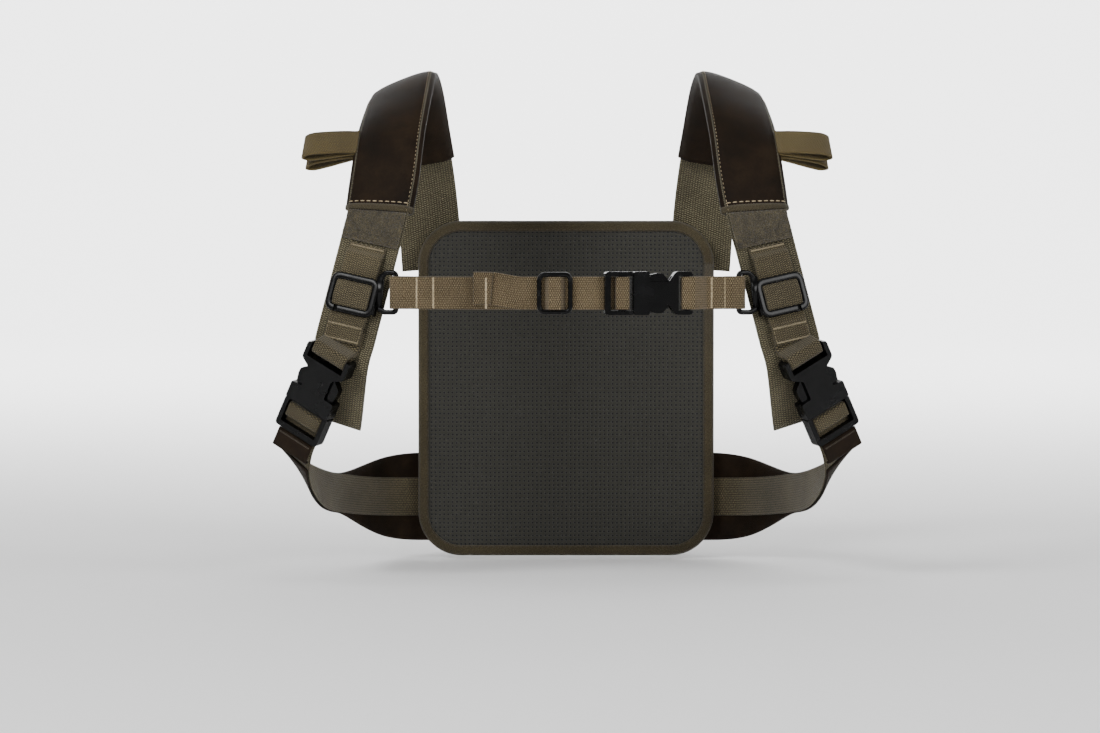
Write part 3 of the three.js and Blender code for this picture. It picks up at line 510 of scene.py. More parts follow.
# ---- Meshes ----
def make_piece(name, verts, faces, finish, uv=None, mirror=1.0, smooth_faces=True):
    """A mesh object from points in millimetres. uv is one pair per point, in millimetres of cloth."""
    verts = np.asarray(verts, float) * [mirror, 1, 1] / 1000
    faces = [tuple(f) if mirror > 0 else tuple(reversed(f)) for f in faces]
    mesh = bpy.data.meshes.new(name)
    mesh.from_pydata(verts.tolist(), [], faces)
    if uv is not None:
        layer = mesh.uv_layers.new(name="strap")
        corners = np.zeros(len(mesh.loops), np.int32)
        mesh.loops.foreach_get("vertex_index", corners)
        layer.data.foreach_set("uv", np.asarray(uv, float)[corners].ravel().astype(np.float32))
    mesh.polygons.foreach_set("use_smooth", [smooth_faces] * len(mesh.polygons))
    mesh.materials.append(FINISH[finish])
    mesh.update()
    made = bpy.data.objects.new(name, mesh)
    bpy.context.scene.collection.objects.link(made)
    return made


def web_section(width, thick, columns=10, round_steps=3):
    """The outline of flat webbing with rounded selvedges, as (across, out) rows."""
    r = thick / 2
    flat = np.linspace(-1, 1, columns) * (width / 2 - r)
    turn = np.linspace(-math.pi / 2, math.pi / 2, round_steps + 2)[1:-1]
    top = [(u, r) for u in flat[::-1]]
    bottom = [(u, -r) for u in flat]
    left = [(-(width / 2 - r) - r * math.cos(a), r * math.sin(a)) for a in turn[::-1]]
    right = [(width / 2 - r + r * math.cos(a), r * math.sin(a)) for a in turn]
    return np.array(top + left + bottom + right)


def pad_section(width, low, high, bulge, flange=1.6, columns=12):
    """The outline of a flat pad whose faces crown and whose edges are pinched into a seam."""
    x = np.linspace(-1, 1, columns)
    rise = (1 - np.abs(x) ** 4) ** 0.5
    middle = (low + high) / 2
    half = (high - low) / 2
    top = [(u * width / 2, middle + flange / 2 + (half - flange / 2) * v + bulge * v * (1 - u * u))
           for u, v in zip(x[::-1], rise)]
    bottom = [(u * width / 2, middle - flange / 2 - (half - flange / 2) * v) for u, v in zip(x, rise)]
    return np.array(top + bottom)


def sweep(points, widths, normals, section):
    """Carries one outline, or one for each frame, along the frames. Gives points, faces and uv."""
    count = len(points)
    sections = np.broadcast_to(section, (count, *np.shape(section)[-2:]))
    size = sections.shape[1]
    spots = points[:, None] + widths[:, None] * sections[..., :1] + normals[:, None] * sections[..., 1:]
    around = np.linalg.norm(np.roll(sections, -1, 1) - sections, axis=2)
    u = np.concatenate([np.zeros((count, 1)), np.cumsum(around, 1)[:, :-1]], 1)
    v = np.broadcast_to(distances(points)[:, None], u.shape)
    faces = []
    for i in range(count - 1):
        a, b = i * size, (i + 1) * size
        faces += [(a + k, b + k, b + (k + 1) % size, a + (k + 1) % size) for k in range(size)]
    faces.append(tuple(range(size)))
    faces.append(tuple(reversed(range((count - 1) * size, count * size))))
    return spots.reshape(-1, 3), faces, np.stack([u.ravel(), v.ravel()], 1)


def outward(verts, faces):
    """The faces turned so that they look out of the closed form."""
    total = 0.0
    for f in faces:
        a = verts[f[0]]
        for k in range(1, len(f) - 1):
            total += a @ np.cross(verts[f[k]], verts[f[k + 1]])
    return faces if total > 0 else [tuple(reversed(f)) for f in faces]


def swept(name, frames, section, finish, mirror=1.0):
    """A piece made by carrying one outline, or one for each frame, along the frames."""
    verts, faces, uv = sweep(*frames, section)
    return make_piece(name, verts, outward(verts, faces), finish, uv, mirror)


def webbing(name, frames, width, thick, finish, mirror=1.0):
    return swept(name, frames, web_section(width, thick), finish, mirror)


def bead(centre, along, out, length, radius, lift=0.0):
    """One stitch: a short thread that dives into the cloth at both ends."""
    side_way = np.cross(along, out)
    rings = [(-0.5, 0.35, -0.9), (-0.34, 0.9, 0.0), (0.0, 1.0, 0.45), (0.34, 0.9, 0.0), (0.5, 0.35, -0.9)]
    verts = []
    for place, swell, rise in rings:
        middle = centre + along * place * length + out * (rise * radius + lift)
        for k in range(6):
            a = k * math.pi / 3
            verts.append(middle + (side_way * math.cos(a) + out * math.sin(a)) * radius * swell)
    faces = []
    for r in range(4):
        a, b = r * 6, (r + 1) * 6
        faces += [(b + k, b + (k + 1) % 6, a + (k + 1) % 6, a + k) for k in range(6)]
    faces += [tuple(range(6)), tuple(reversed(range(24, 30)))]
    return verts, faces


def stitch_piece(name, stitches, finish, mirror=1.0):
    """One object from many stitches, each (centre, along, out, length, radius)."""
    verts, faces = [], []
    for stitch in stitches:
        v, f = bead(*stitch)
        faces += [tuple(k + len(verts) for k in face) for face in f]
        verts += v
    return make_piece(name, verts, faces, finish, None, mirror)


def run_of_stitches(points, outs, length=2.6, pause=0.9, radius=0.3):
    """Stitches along a line of points, one after another, with one way out or one for each point."""
    run, outs = distances(points), np.broadcast_to(outs, points.shape)
    made = []
    s = length / 2
    while s < run[-1] - length / 2:
        along = unit(read_at(s + length / 2, run, points) - read_at(s - length / 2, run, points))
        made.append((read_at(s, run, points), along, unit(read_at(s, run, outs)), length, radius))
        s += length + pause
    return made


def bar_of_stitches(centre, across, along, out, width, depth, radius=0.24, pitch=0.42):
    """A bartack: close zigzag stitches that cover a short bar across the webbing."""
    made = []
    count = int(width / pitch)
    for k in range(count):
        spot = centre + across * ((k + 0.5) / count - 0.5) * width
        lean = unit(along + across * (0.28 if k % 2 else -0.28))
        made.append((spot, lean, out, depth, radius, 0.12))
    return made


# ---- Pieces of one side ----
def lifted(s):
    """How far the ladder webbing's middle stands above the shoulder webbing's."""
    up = smooth(LADDER["free_top"] - s, 0, 4)
    stack = smooth(LADDER["free_low"] + 4 - s, 0, 4)
    return 1.8 + 2.5 * up + 0.9 * stack


def build_shoulder_webbing(side_name, mirror):
    s = np.arange(0, shoulder.length, 3.0)
    size = SHOULDER["width"], SHOULDER["thick"]
    made = webbing(f"shoulder_webbing.{side_name}", shoulder.at(s), *size, "wide_webbing", mirror)
    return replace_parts(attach(made, "harness"), f"shoulder_webbing_{side_name}")


def pad_top(u):
    """The height of the pad's crowned face above the route, at a distance u across it."""
    share = 2 * np.abs(u) / PAD["width"]
    rise = (1 - share**4) ** 0.5
    half, flange = (PAD["high"] - PAD["low"]) / 2, PAD["flange"] / 2
    return PAD["low"] + half + flange + (half - flange) * rise + PAD["crown"] * rise * (1 - share**2)


def build_pad(side_name, mirror):
    s = np.arange(PAD["start"], PAD["end"] + 0.1, 2.5)
    points, w, n = shoulder.at(s)
    section = pad_section(PAD["width"], PAD["low"], PAD["high"], PAD["crown"])
    cover = swept(f"pad_cover.{side_name}", (points, w, n), section, "laminate", mirror)
    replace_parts(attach(cover, "harness"), f"pad_cover_{side_name}")
    for edge, seam_name, thread in ((-1, "outer", "brown_thread"), (1, "inner", "tan_thread")):
        u = edge * (PAD["width"] / 2 - 3.2)
        line = points + w * u + n * (pad_top(u) - 0.02)
        stitches = run_of_stitches(line, n, 1.5, 1.6, 0.16)
        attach(stitch_piece(f"pad_seam_{seam_name}.{side_name}", stitches, thread, mirror), "harness")
    point, across, out = shoulder.frame(PAD["start"] + 4.6)
    u = np.linspace(-PAD["width"] / 2 + 2.4, PAD["width"] / 2 - 2.4, 40)
    line = point + np.outer(u, across) + np.outer(pad_top(u), out)
    stitches = run_of_stitches(line, out, 3.0, 1.0, 0.34)
    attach(stitch_piece(f"pad_end_seam.{side_name}", stitches, "tan_thread", mirror), "harness")
    tape_s = PAD["start"] + np.array([-0.9, -0.7, 0.0, 1.6, 3.0, 3.2])
    sections = np.stack([
        pad_section(PAD["width"] + 2 * g, PAD["low"] - g, PAD["high"] + g, PAD["crown"], PAD["flange"] + g)
        for g in (-0.8, -0.1, 0.3, 0.35, 0.25, -0.3)
    ])
    tape = swept(f"pad_end_tape.{side_name}", shoulder.at(tape_s), sections, "edge_tape", mirror)
    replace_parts(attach(tape, "harness"), f"pad_end_tape_{side_name}")


def build_loop_field(side_name, mirror):
    base = SHOULDER["thick"] / 2 + GAP
    s = np.arange(LOOP_FIELD["start"], LOOP_FIELD["end"] + 0.1, 1.0)
    section = web_section(LOOP_FIELD["width"], LOOP_FIELD["thick"], 40)
    frames = shoulder.at(s, base + LOOP_FIELD["thick"] / 2)
    made = swept(f"loop_field.{side_name}", frames, section, "pile", mirror)
    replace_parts(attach(made, "harness"), f"loop_field_{side_name}")
    rng = np.random.default_rng(5)
    loops = []
    for _ in range(LOOP_FIELD["loops"]):
        place = rng.uniform(LOOP_FIELD["start"] + 0.4, LOOP_FIELD["end"] - 0.3)
        point, across, out = shoulder.frame(place, base + 1.35)
        spot = point + across * rng.uniform(-18.6, 18.6)
        turn = rng.uniform(0, 2 * math.pi)
        lean = across * math.cos(turn) + np.cross(out, across) * math.sin(turn) + out * rng.uniform(-0.25, 0.25)
        loops.append(
            (spot, unit(lean), out, rng.uniform(0.9, 1.9), rng.uniform(0.07, 0.12), rng.uniform(0.0, 0.45))
        )
    pile = stitch_piece(f"loop_pile.{side_name}", loops, "pile", mirror)
    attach(pile, "harness")
    seams = []
    for place in (LOOP_FIELD["start"] + 0.9, LOOP_FIELD["end"] - 0.8):
        point, across, out = shoulder.frame(place, base + 1.5)
        u = np.linspace(-18.2, 18.2, 20)
        seams += run_of_stitches(point + np.outer(u, across), out, 2.4, 0.8, 0.22)
    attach(stitch_piece(f"loop_field_seam.{side_name}", seams, "brown_thread", mirror), "harness")


def build_ladder(side_name, mirror):
    s = np.concatenate([np.arange(LADDER["low"], LADDER["top"], 1.0), [LADDER["top"]]])
    size = LADDER["width"], LADDER["thick"]
    made = webbing(f"ladder_webbing.{side_name}", shoulder.at(s, lifted(s)), *size, "narrow_webbing", mirror)
    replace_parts(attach(made, "harness"), f"ladder_webbing_{side_name}")
    stitches = []
    for place in (LADDER["low"] + 1.6, LADDER["free_low"] + 0.6, LADDER["top"] - 1.6):
        point, across, out = shoulder.frame(place, float(lifted(place)) + 0.68)
        along = np.cross(across, out)
        stitches += bar_of_stitches(point, across, along, out, LADDER["width"] - 2.4, 1.3, 0.2)
    run = np.linspace(LADDER["low"] + 2, LADDER["free_low"], 12)
    for edge in (-1, 1):
        points, w, n = shoulder.at(run)
        line = points + n * (lifted(run) + 0.7)[:, None] + w * edge * (LADDER["width"] / 2 - 1.4)
        stitches += run_of_stitches(line, n, 1.7, 0.9, 0.16)
    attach(stitch_piece(f"ladder_bartacks.{side_name}", stitches, "khaki_thread", mirror), "harness")
    reach = 9.4
    bulge_s = np.linspace(-reach, reach, 25)
    frames = shoulder.at(LADDER["slider"] + bulge_s, 4.5 + 3.0 * (1 - (bulge_s / reach) ** 2) ** 0.6)
    bulge = webbing(
        f"slider_webbing.{side_name}", frames, LADDER["width"] - 0.6, LADDER["thick"], "narrow_webbing", mirror
    )
    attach(bulge, f"slider_{side_name}")


def joined(parts):
    """Points and faces of closed forms, as one mesh."""
    verts, faces = [], []
    for part_verts, part_faces, _ in parts:
        turned = outward(part_verts, part_faces)
        faces += [tuple(k + len(verts) for k in face) for face in turned]
        verts += list(part_verts)
    return np.array(verts), faces


def moulded_bar(path, frame, width, depth, corner, level=0.0):
    """A bar with rounded edges along a flat path. Its frame is a point, two directions and the way out."""
    point, first, second, out = frame
    points = point + np.outer(path[:, 0], first) + np.outer(path[:, 1], second) + out * level
    tangent = unit(np.gradient(points, axis=0))
    outs = np.tile(out, (len(points), 1))
    return sweep(points, np.cross(outs, tangent), outs, rounded_outline(width, depth, corner, 4)[0])


def rim_path(sizes, start, end):
    """A rounded rectangle that begins and ends on its low edge."""
    x, y = sizes["length"] / 2, sizes["width"] / 2
    corners = [[a * x, b * y, sizes["corner"]] for a, b in ((-1, 1), (1, 1), (1, -1), (-1, -1))]
    return threaded([[-x, start], *corners, [-x, end]], 9, 2)


def build_slider(side_name, mirror):
    """The frame round the ladder webbing: a front rim with a slit, two rails, a back bar and the eye."""
    point, w, n = shoulder.frame(LADDER["slider"])
    frame = (point, np.cross(w, n), w, n)
    parts = [moulded_bar(rim_path(SLIDER, -9.0, -9.8), frame, 4.3, 2.5, 1.1, 6.5)]
    reach = SLIDER["length"] / 2 - 0.5
    for edge in (-SLIDER["rail"] / 2, SLIDER["rail"] / 2):
        parts.append(moulded_bar(np.linspace((-reach, edge), (reach, edge), 3), frame, 3.3, 4.6, 0.8, 3.5))
    parts.append(moulded_bar(np.linspace((0, -14.0), (0, 14.0), 3), frame, 5.0, 2.2, 0.7, 2.2))
    eye_point, eye_tangent, eye_out = arc_frame(ARC["eye"], -STERNUM["thick"] / 2 - GAP / 2)
    frame = (eye_point, eye_tangent, UP, eye_out)
    top, bar = SLIDER["eye_height"] / 2, SLIDER["end_bar"] / 2
    lugs = [[12.0, -9.6], [7.6, -top, 3.4], [0, -top, 2.4], [0, top, 2.4], [6.4, top, 3.4], [10.4, 8.6]]
    parts.append(moulded_bar(threaded(lugs, 8, 2), frame, 3.1, 3.2, 1.1))
    parts.append(moulded_bar(np.array([[11.9, -bar], [10.8, 0], [9.7, bar]]), frame, 4.2, 3.2, 0.9))
    made = make_piece(f"sternum_slider.{side_name}", *joined(parts), "acetal", None, mirror)
    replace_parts(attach(made, f"slider_{side_name}"), f"sternum_slider_{side_name}")


def build_triglide():
    """The moulded three-bar frame that keeps the folded tail flat."""
    point, tangent, out = arc_frame(ARC["triglide"], 1.5 * STERNUM["thick"] + 2 * GAP)
    frame = (point, tangent, UP, out)
    parts = [moulded_bar(rim_path(TRIGLIDE, 0, 0), frame, 2.9, 3.0, 1.2, 1.5)]
    parts.append(moulded_bar(np.linspace((0, -11.6), (0, 11.6), 3), frame, 5.0, 1.8, 0.7, 0.9))
    made = make_piece("sternum_triglide.frame", *joined(parts), "acetal")
    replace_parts(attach(made, "triglide"), "sternum_triglide")


def build_carry_loops(side_name, mirror):
    point, w, n = shoulder.frame(CARRY["at"])
    along = np.cross(w, n)
    edge, rise, root = CARRY["edge"], CARRY["rise"], CARRY["root"]
    far = edge + CARRY["reach"]
    profile = [
        [edge - 3, root], [edge, root], [edge + 8, root + 1.1],
        [far - 11, rise], [far - 4, rise * 0.85], [far, 0.2], [far - 4, -rise * 0.75], [far - 11, -rise * 0.8],
        [edge + 8, -root - 0.5], [edge, -root], [edge - 3, -root],
    ]
    flat = curve_points(profile, np.linspace(0, 1, 90), False)
    for order, name in enumerate(("front", "rear")):
        tilt, drop = math.radians(-9 * order), -4.2 * order
        out = (flat[:, 0] - edge) * math.cos(tilt) - flat[:, 1] * math.sin(tilt) + edge
        up = (flat[:, 0] - edge) * math.sin(tilt) + flat[:, 1] * math.cos(tilt) + drop
        frames = path_frames(point - np.outer(out, w) + np.outer(up, n), along)
        made = webbing(
            f"carry_loop_{name}.{side_name}", frames, CARRY["width"], CARRY["thick"], "loop_webbing", mirror
        )
        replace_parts(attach(made, "harness"), f"carry_loop_{name}_{side_name}")


def ladder_corners(buckle, at, main_out):
    """Corners of a strap threaded through a ladder: in under the middle bar, over it and back below."""
    t = buckle["web"]["thick"]
    tail = main_out + t + GAP
    over = tail + t / 2 + GAP + 2 + GAP + t / 2
    near = at - buckle["near"] + GAP + t / 2
    far = at - buckle["near"] - buckle["mid"] - GAP - t / 2
    return tail, [[near, main_out, 0.9], [near, over, 1.2], [far, over, 1.2], [far, tail, 0.9]]


def build_buckle_loop(side_name, mirror):
    reach = tail_fold(SIDE_BUCKLE)
    bar, past = SIDE_BUCKLE["tail_bar"], SIDE_BUCKLE["length"] + 1.6
    under = SHOULDER["thick"] / 2 + GAP + SIDE["thick"] / 2
    upper = under + SIDE["thick"] + GAP
    flat = threaded([[past, -reach], [bar - reach, -reach, 1.9], [bar - reach, reach, 1.9], [past, reach]])
    round_bar = side_buckle_points(flat)
    low = shoulder.at(np.array([61.0, 56.0, 51.0]), under)[0]
    high = shoulder.at(np.array([51.0, 56.0, 61.0]), upper)[0]
    rough = np.vstack([low, round_bar, high])
    run = distances(rough)
    points = read_at(np.arange(0, run[-1], 0.8), run, rough)
    for _ in range(4):
        points[1:-1] = (points[:-2] + points[1:-1] * 2 + points[2:]) / 4
    frames = path_frames(points, -SIDE_ACROSS)
    made = webbing(f"buckle_loop.{side_name}", frames, SIDE["width"], SIDE["thick"], "narrow_webbing", mirror)
    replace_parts(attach(made, "harness"), f"buckle_loop_{side_name}")


def build_side_strap(side_name, mirror):
    t = SIDE["thick"]
    level = web_level(SIDE_BUCKLE)
    tail, corners = ladder_corners(SIDE_BUCKLE, 0.0, level)
    folded = tail + t + GAP
    ladder_end = -SIDE_BUCKLE["ladder"]
    end, start = ladder_end - 12, ladder_end - 1.2
    body = f"side_release_{side_name}"
    turns = [[start, folded], [end, folded, 0.85], [end, tail, 0.85]]
    flat = threaded([*turns, *reversed(corners), [ladder_end - 0.2, level]])
    threads = path_frames(side_buckle_points(flat), SIDE_ACROSS)
    tail_piece = webbing(f"side_webbing_tail.{side_name}", threads, SIDE["width"], t, "narrow_webbing", mirror)
    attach(tail_piece, body)
    run = np.concatenate([np.arange(0, side.length, 2.5), [side.length]])
    points, w, n = side.at(run)
    main = webbing(f"side_webbing.{side_name}", (points, w, n), SIDE["width"], t, "narrow_webbing", mirror)
    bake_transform(main)
    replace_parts(main, f"side_webbing_{side_name}")
    off = t / 2 + GAP + 0.6
    corner = [end - off, folded + off, 1.1]
    flat = threaded([[start - 0.2, folded + off], corner, [end - off, folded - off * 0.9]])
    frames = path_frames(side_buckle_points(flat), SIDE_ACROSS)
    cover = webbing(f"strap_end.{side_name}", frames, SIDE["width"] + 1, 1.2, "laminate", mirror)
    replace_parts(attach(cover, body), f"strap_end_{side_name}")
    across_line = side_buckle_points(np.array([[start - 2.4, folded + off + 0.6]]))[0]
    seam = bar_of_stitches(across_line, SIDE_ACROSS, SIDE_AXIS, SIDE_NORMAL, SIDE["width"] - 2, 1.3, 0.18, 0.5)
    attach(stitch_piece(f"strap_end_seam.{side_name}", seam, "brown_thread", mirror), body)

    lift = t / 2 + 0.5 + 0.6
    run = np.arange(20, 127.1, 2.0)
    points, w, n = side.at(run, lift)
    facing = webbing(f"side_facing.{side_name}", (points, w, n), SIDE["width"] + 0.8, 1.2, "laminate", mirror)
    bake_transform(facing)
    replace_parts(facing, f"side_facing_{side_name}")
    run = np.concatenate([np.arange(126.5, side.length, 2.5), [side.length]])
    points, w, n = side.at(run, lift)
    share = (run - 128) / (side.length - 128)
    spread = 25.8 + (58.0 - 25.8) * smooth(share, 0, 0.75)
    sections = np.stack([web_section(width, 1.3, 16) for width in spread])
    wing = swept(f"side_wing.{side_name}", (points, w, n), sections, "laminate", mirror)
    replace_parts(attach(wing, "harness"), f"side_wing_{side_name}")
    stitches = []
    for edge in (-1, 1):
        line = points + w * (edge * (spread / 2 - 2.2))[:, None] + n * 0.66
        stitches += run_of_stitches(line, n, 2.4, 1.1, 0.2)
    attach(stitch_piece(f"side_wing_seam.{side_name}", stitches, "brown_thread", mirror), "harness")


# ---- Sternum strap ----
def eye_fold(way):
    t = STERNUM["thick"]
    middle = -t / 2 - GAP / 2
    reach = 1.6 + GAP + t / 2
    front, back = middle + reach + 0.25, middle - reach - 1.3
    outer, inner = ARC["eye"] + reach + 0.5, ARC["eye"] - reach - 3.6
    seam = inner - 4
    outward_way = [[way * seam, -t - GAP, 1], [way * inner, back, 1], [way * outer, back, 2.2]]
    inward_way = [[way * outer, front, 2.2], [way * inner, front, 1], [way * seam, 0, 1]]
    return outward_way, inward_way


def chest_webbing(name, corners, step=2.0, rise=None):
    flat = threaded(corners, 8, step)
    points = chest_points(flat)
    if rise is not None:
        points[:, 2] += rise(flat[:, 0])
    return webbing(name, path_frames(points, UP), STERNUM["width"], STERNUM["thick"], "chest_webbing")


def chest_bartack(s, out):
    point, tangent, normal = arc_frame(s, out)
    return bar_of_stitches(point, UP, tangent, normal, STERNUM["width"] - 1.4, 1.5)


def build_sternum():
    t = STERNUM["thick"]
    out_way, in_way = eye_fold(-1)
    tail, corners = ladder_corners(STERNUM_BUCKLE, ARC["mouth"], 0.0)
    c = ARC["triglide"]
    under = [[c + 10.2, tail, 2], [c + 8.2, tail - 0.14, 2], [c - 10.8, tail - 0.14]]
    main = chest_webbing("sternum_webbing_main", [[-80, -t - GAP], *out_way, *in_way, *corners, *under])
    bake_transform(main)
    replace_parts(main, "sternum_webbing_long")
    folded = tail + t + GAP
    tab = chest_webbing(
        "sternum_webbing_tail", [[c - 9.0, tail], [-56.5, tail, 0.8], [-56.5, folded, 0.8], [-45.5, folded]],
        rise=lambda along: 3.0 * smooth(-along, 26, 50),
    )
    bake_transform(tab)
    hump = tail + t / 2 + GAP + 1.8 + GAP + t / 2 + 0.4
    climb = [[c + 9.6, tail], [c + 5.6, tail, 1.2], [c + 2.9, hump, 1.4]]
    over = chest_webbing(
        "triglide_webbing", [*climb, [c - 2.9, hump, 1.4], [c - 5.6, tail, 1.2], [c - 9.6, tail]], 1.0
    )
    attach(over, "triglide")
    stitches = chest_bartack(-93.0, t / 2 - 0.02) + chest_bartack(-82.4, t / 2 - 0.02)
    stitches += chest_bartack(-49.0, folded + t / 2 - 0.02)
    left = stitch_piece("sternum_bartacks_left", stitches, "tan_thread")
    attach(left, "sternum_strap")

    out_way, in_way = eye_fold(1)
    bar = ARC["mouth"] + STERNUM_BUCKLE["tail_bar"]
    level = -web_level(STERNUM_BUCKLE)
    reach = tail_fold(STERNUM_BUCKLE) + 0.2
    leave = bar + reach + 1.5
    to_bar = [[leave + 9, 0, 2], [leave, level + reach, 1], [bar - reach, level + reach, 2]]
    back = [[bar - reach, level - reach, 2], [leave, level - reach, 1], [leave + 4, -t - GAP, 1]]
    corners = [[97, -t - GAP], *out_way, *in_way, *to_bar, *back, [91, -t - GAP]]
    short = chest_webbing("sternum_webbing_short", corners, 1.2)
    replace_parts(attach(short, "sternum_strap"), "sternum_webbing_short")
    stitches = chest_bartack(88.8, t / 2) + chest_bartack(97.6, t / 2)
    right = stitch_piece("sternum_bartacks_right", stitches, "tan_thread")
    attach(right, "sternum_strap")


# ---- Back panel ----
def rounded_outline(width, height, corner, steps=12):
    """A rounded rectangle in x and z, as points and their outward directions."""
    points, ways = [], []
    for k, (sx, sz) in enumerate(((1, 1), (-1, 1), (-1, -1), (1, -1))):
        centre = np.array([sx * (width / 2 - corner), sz * (height / 2 - corner)])
        for a in np.linspace(0, math.pi / 2, steps):
            angle = a + k * math.pi / 2
            way = np.array([math.cos(angle), math.sin(angle)])
            points.append(centre + way * corner)
            ways.append(way)
    return np.array(points), np.array(ways)


def panel_sheet(name, finish, inset, low, high, crown, seams=()):
    """A layer with the panel's outline between two depths, pinched at its seams. It is crowned on its outer
    side where crown is above zero, and on its body side where it is below."""
    outline, ways = rounded_outline(PANEL["width"], PANEL["height"], PANEL["corner"])
    rings = [outline - ways * inset]
    shares = np.linspace(1, 0, 26)[1:-1]
    rings += [rings[0] * share for share in shares]
    size = len(outline)
    verts, uv = [], []
    for side_of, depth in ((1, high), (-1, low)):
        for ring in rings:
            room = np.array([PANEL["width"], PANEL["height"]]) / 2 - inset - np.abs(ring)
            margin = room.min(1)
            puff = crown * (1 - np.exp(-np.maximum(margin, 0) / 6))
            for seam in seams:
                puff = puff * (1 - np.exp(-((ring[:, 1] - seam) / 3.0) ** 2))
            y = depth + (puff if (side_of > 0) == (crown > 0) else 0 * puff)
            verts += np.stack([ring[:, 0], y, ring[:, 1]], 1).tolist()
            uv += ring.tolist()
        verts.append([0, depth, 0])
        uv.append([0, 0])
    layer = len(rings) * size + 1
    faces = []
    for base in (0, layer):
        for r in range(len(rings) - 1):
            a, b = base + r * size, base + (r + 1) * size
            faces += [(a + k, a + (k + 1) % size, b + (k + 1) % size, b + k) for k in range(size)]
        a = base + (len(rings) - 1) * size
        faces += [(a + k, a + (k + 1) % size, base + layer - 1) for k in range(size)]
    split = len(faces) // 2
    faces = [tuple(reversed(f)) for f in faces[:split]] + faces[split:]
    faces += [(k, (k + 1) % size, layer + (k + 1) % size, layer + k) for k in range(size)]
    verts = np.array(verts)
    return make_piece(name, verts, outward(verts, faces), finish, np.array(uv))


def build_back():
    shell = panel_sheet("back_shell", "laminate", 0.0, PANEL["out"] - 1.2, PANEL["out"], 0.35)
    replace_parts(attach(shell, "harness"), "back_shell")
    liner = panel_sheet("back_liner", "mesh", 1.0, 0.6, 2.4, -0.6, seams=(-36.0, 36.0))
    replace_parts(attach(liner, "harness"), "back_liner")
    outline, ways = rounded_outline(PANEL["width"], PANEL["height"], PANEL["corner"], 16)
    outline = np.vstack([outline, outline[:1]])
    ways = np.vstack([ways, ways[:1]])
    middle = PANEL["out"] / 2
    points = np.stack([outline[:, 0], np.full(len(outline), middle), outline[:, 1]], 1)
    out = np.stack([ways[:, 0], np.zeros(len(ways)), ways[:, 1]], 1)
    turn = np.linspace(math.radians(128), math.radians(-128), 19)
    quarter = math.pi / 2
    outer = []
    for a in turn:
        deep = math.sin(min(max(a, -quarter), quarter)) * (middle + 0.25)
        outer.append((deep, math.cos(a) * (2.5 if abs(a) < quarter else 7.5)))
    inner = [(x * 0.86, y - 1.0 if abs(x) < middle * 0.9 else y) for x, y in outer[::-1]]
    section = np.array(outer + inner[1:-1])
    depth_way = np.tile([0.0, 1.0, 0.0], (len(points), 1))
    tape = swept("back_edge_tape", (points, depth_way, out), section, "edge_tape")
    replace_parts(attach(tape, "harness"), "back_edge_tape")
    stitches = []
    for inset, y, way in ((3.4, PANEL["out"] + 0.45, 1.0), (3.4, -0.1, -1.0)):
        drawn = outline - ways * inset
        line = np.stack([drawn[:, 0], np.full(len(drawn), y), drawn[:, 1]], 1)
        stitches += run_of_stitches(line, [0.0, way, 0.0], 2.6, 1.0, 0.22)
    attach(stitch_piece("back_edge_seam", stitches, "brown_thread"), "harness")

    for row, height in enumerate((46.0, 10.0, -26.0), 1):
        x = np.linspace(-75, 75, 121)
        rise = 0.9 * np.abs(np.sin(np.pi * (x + 75) / 37.5)) ** 0.6
        points = np.stack([x, PANEL["out"] + GAP + 0.7 + rise * 0.5, np.full(len(x), height)], 1)
        strip = webbing(f"pouch_row_{row}", path_frames(points, -UP), 25.0, 1.4, "narrow_webbing")
        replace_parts(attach(strip, "harness"), f"pouch_row_{row}")
        stitches = []
        for place in (-74.0, -37.5, 0.0, 37.5, 74.0):
            spot = np.array([place, PANEL["out"] + GAP + 1.42, height])
            stitches += bar_of_stitches(spot, UP, np.array([1.0, 0, 0]), np.array([0, 1.0, 0]), 22.0, 1.5, 0.2)
        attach(stitch_piece(f"pouch_row_bartacks_{row}", stitches, "brown_thread"), "harness")


# ---- Moulded parts keep their solids, with softened edges ----
def soften(node_name, radius):
    node = NODES[node_name]
    node.data.materials.clear()
    node.data.materials.append(FINISH["acetal"])
    tidy = node.modifiers.new("flat_faces", "DECIMATE")
    tidy.decimate_type = "DISSOLVE"
    tidy.angle_limit = math.radians(0.6)
    bevel = node.modifiers.new("moulded_edges", "BEVEL")
    bevel.width = radius / 1000
    bevel.segments = 3
    bevel.limit_method = "ANGLE"
    bevel.angle_limit = math.radians(24)
    bevel.harden_normals = True
    bevel.use_clamp_overlap = True
    for polygon in node.data.polygons:
        polygon.use_smooth = True
    shade = node.modifiers.new("even_normals", "WEIGHTED_NORMAL")
    shade.keep_sharp = True


def keep_hidden_foam():
    for name, node in NODES.items():
        if "foam" in name:
            node.data.materials.clear()
            node.data.materials.append(FINISH["foam"])


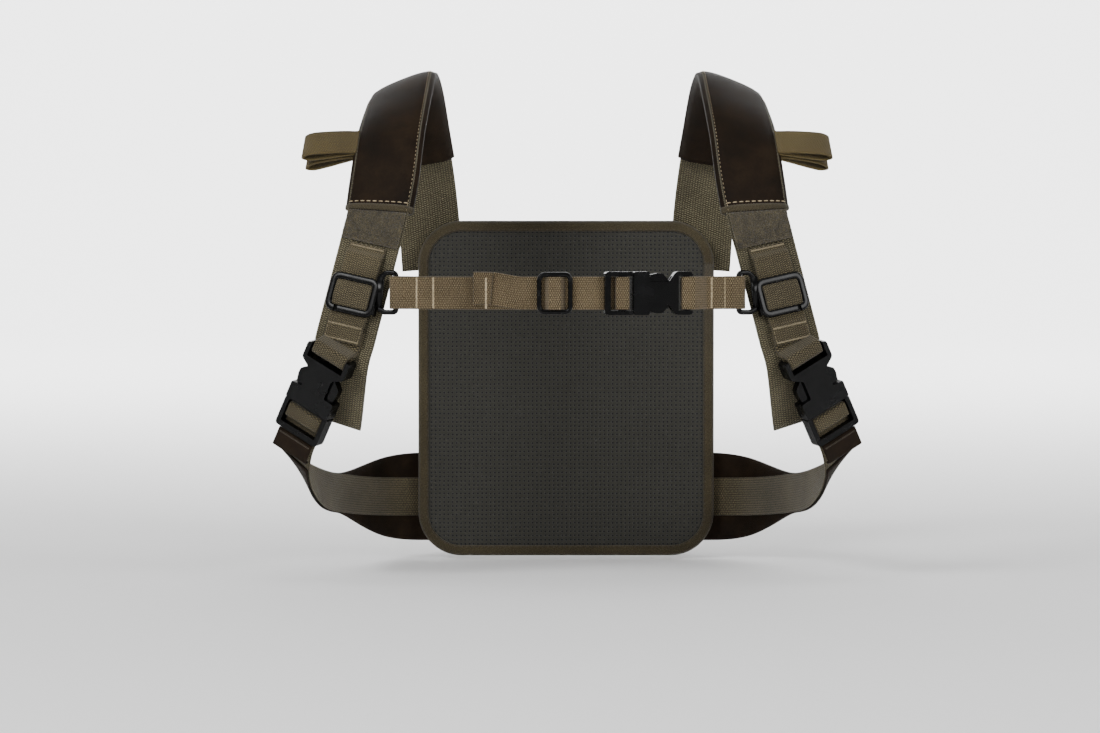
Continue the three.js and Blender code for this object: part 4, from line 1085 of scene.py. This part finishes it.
for side_name, mirror in SIDES.items():
    for build in (
        build_shoulder_webbing, build_pad, build_loop_field, build_ladder, build_carry_loops, build_buckle_loop,
        build_side_strap, build_slider,
    ):
        build(side_name, mirror)
    for part, radius in (("socket", 0.8), ("tongue", 0.6), ("arm_outer", 0.45), ("arm_inner", 0.45)):
        soften(f"side_{part}_{side_name}", radius)
build_sternum()
build_triglide()
for part, radius in (("socket", 0.7), ("tongue", 0.5), ("arm_upper", 0.4), ("arm_lower", 0.4)):
    soften(f"sternum_{part}", radius)
build_back()
keep_hidden_foam()


# ---- Floor, backdrop and lights ----
def build_stage():
    """A pale floor that turns up into a backdrop."""
    low = CAD_BOX[0][2] - 0.002
    start, bend = 4.2, 1.4
    profile = [(-8.0, low), (start, low)]
    profile += [
        (start + bend * math.sin(a), low + bend - bend * math.cos(a)) for a in np.linspace(0.1, math.pi / 2, 14)
    ]
    profile += [(start + bend, low + 5.0)]
    verts = [(x, y, z) for x in (-8.0, 8.0) for y, z in profile]
    count = len(profile)
    faces = [(k, k + count, k + count + 1, k + 1) for k in range(count - 1)]
    mesh = bpy.data.meshes.new("floor")
    mesh.from_pydata(verts, [], faces)
    mesh.polygons.foreach_set("use_smooth", [True] * len(mesh.polygons))
    mesh.materials.append(new_material("studio_floor", matt_paint, "#fbfbfb"))
    floor = bpy.data.objects.new("floor", mesh)
    bpy.context.scene.collection.objects.link(floor)


def add_light(name, place, size, power, aim=(0.0, -0.1, 0.02)):
    lamp = bpy.data.lights.new(name, "AREA")
    lamp.shape = "RECTANGLE"
    lamp.size, lamp.size_y = size
    lamp.energy = power
    made = bpy.data.objects.new(name, lamp)
    made.location = place
    way = np.array(aim) - np.array(place)
    made.rotation_euler = Vector(way).to_track_quat("-Z", "Y").to_euler()
    bpy.context.scene.collection.objects.link(made)


build_stage()
add_light("key", (-1.6, -2.1, 1.5), (1.0, 1.0), 54)
add_light("fill", (1.8, -1.9, 0.9), (1.0, 1.0), 32)
add_light("top", (0.0, -0.6, 2.2), (1.6, 1.0), 10)
add_light("backdrop", (0.0, 2.2, 3.2), (7.0, 2.4), 760, (0.0, 5.4, 1.0))
world = bpy.data.worlds.new("studio")
bpy.context.scene.world = world
world.use_nodes = True
set_inputs(world.node_tree, world.node_tree.nodes["Background"], Color=linear("#ffffff"), Strength=0.3)
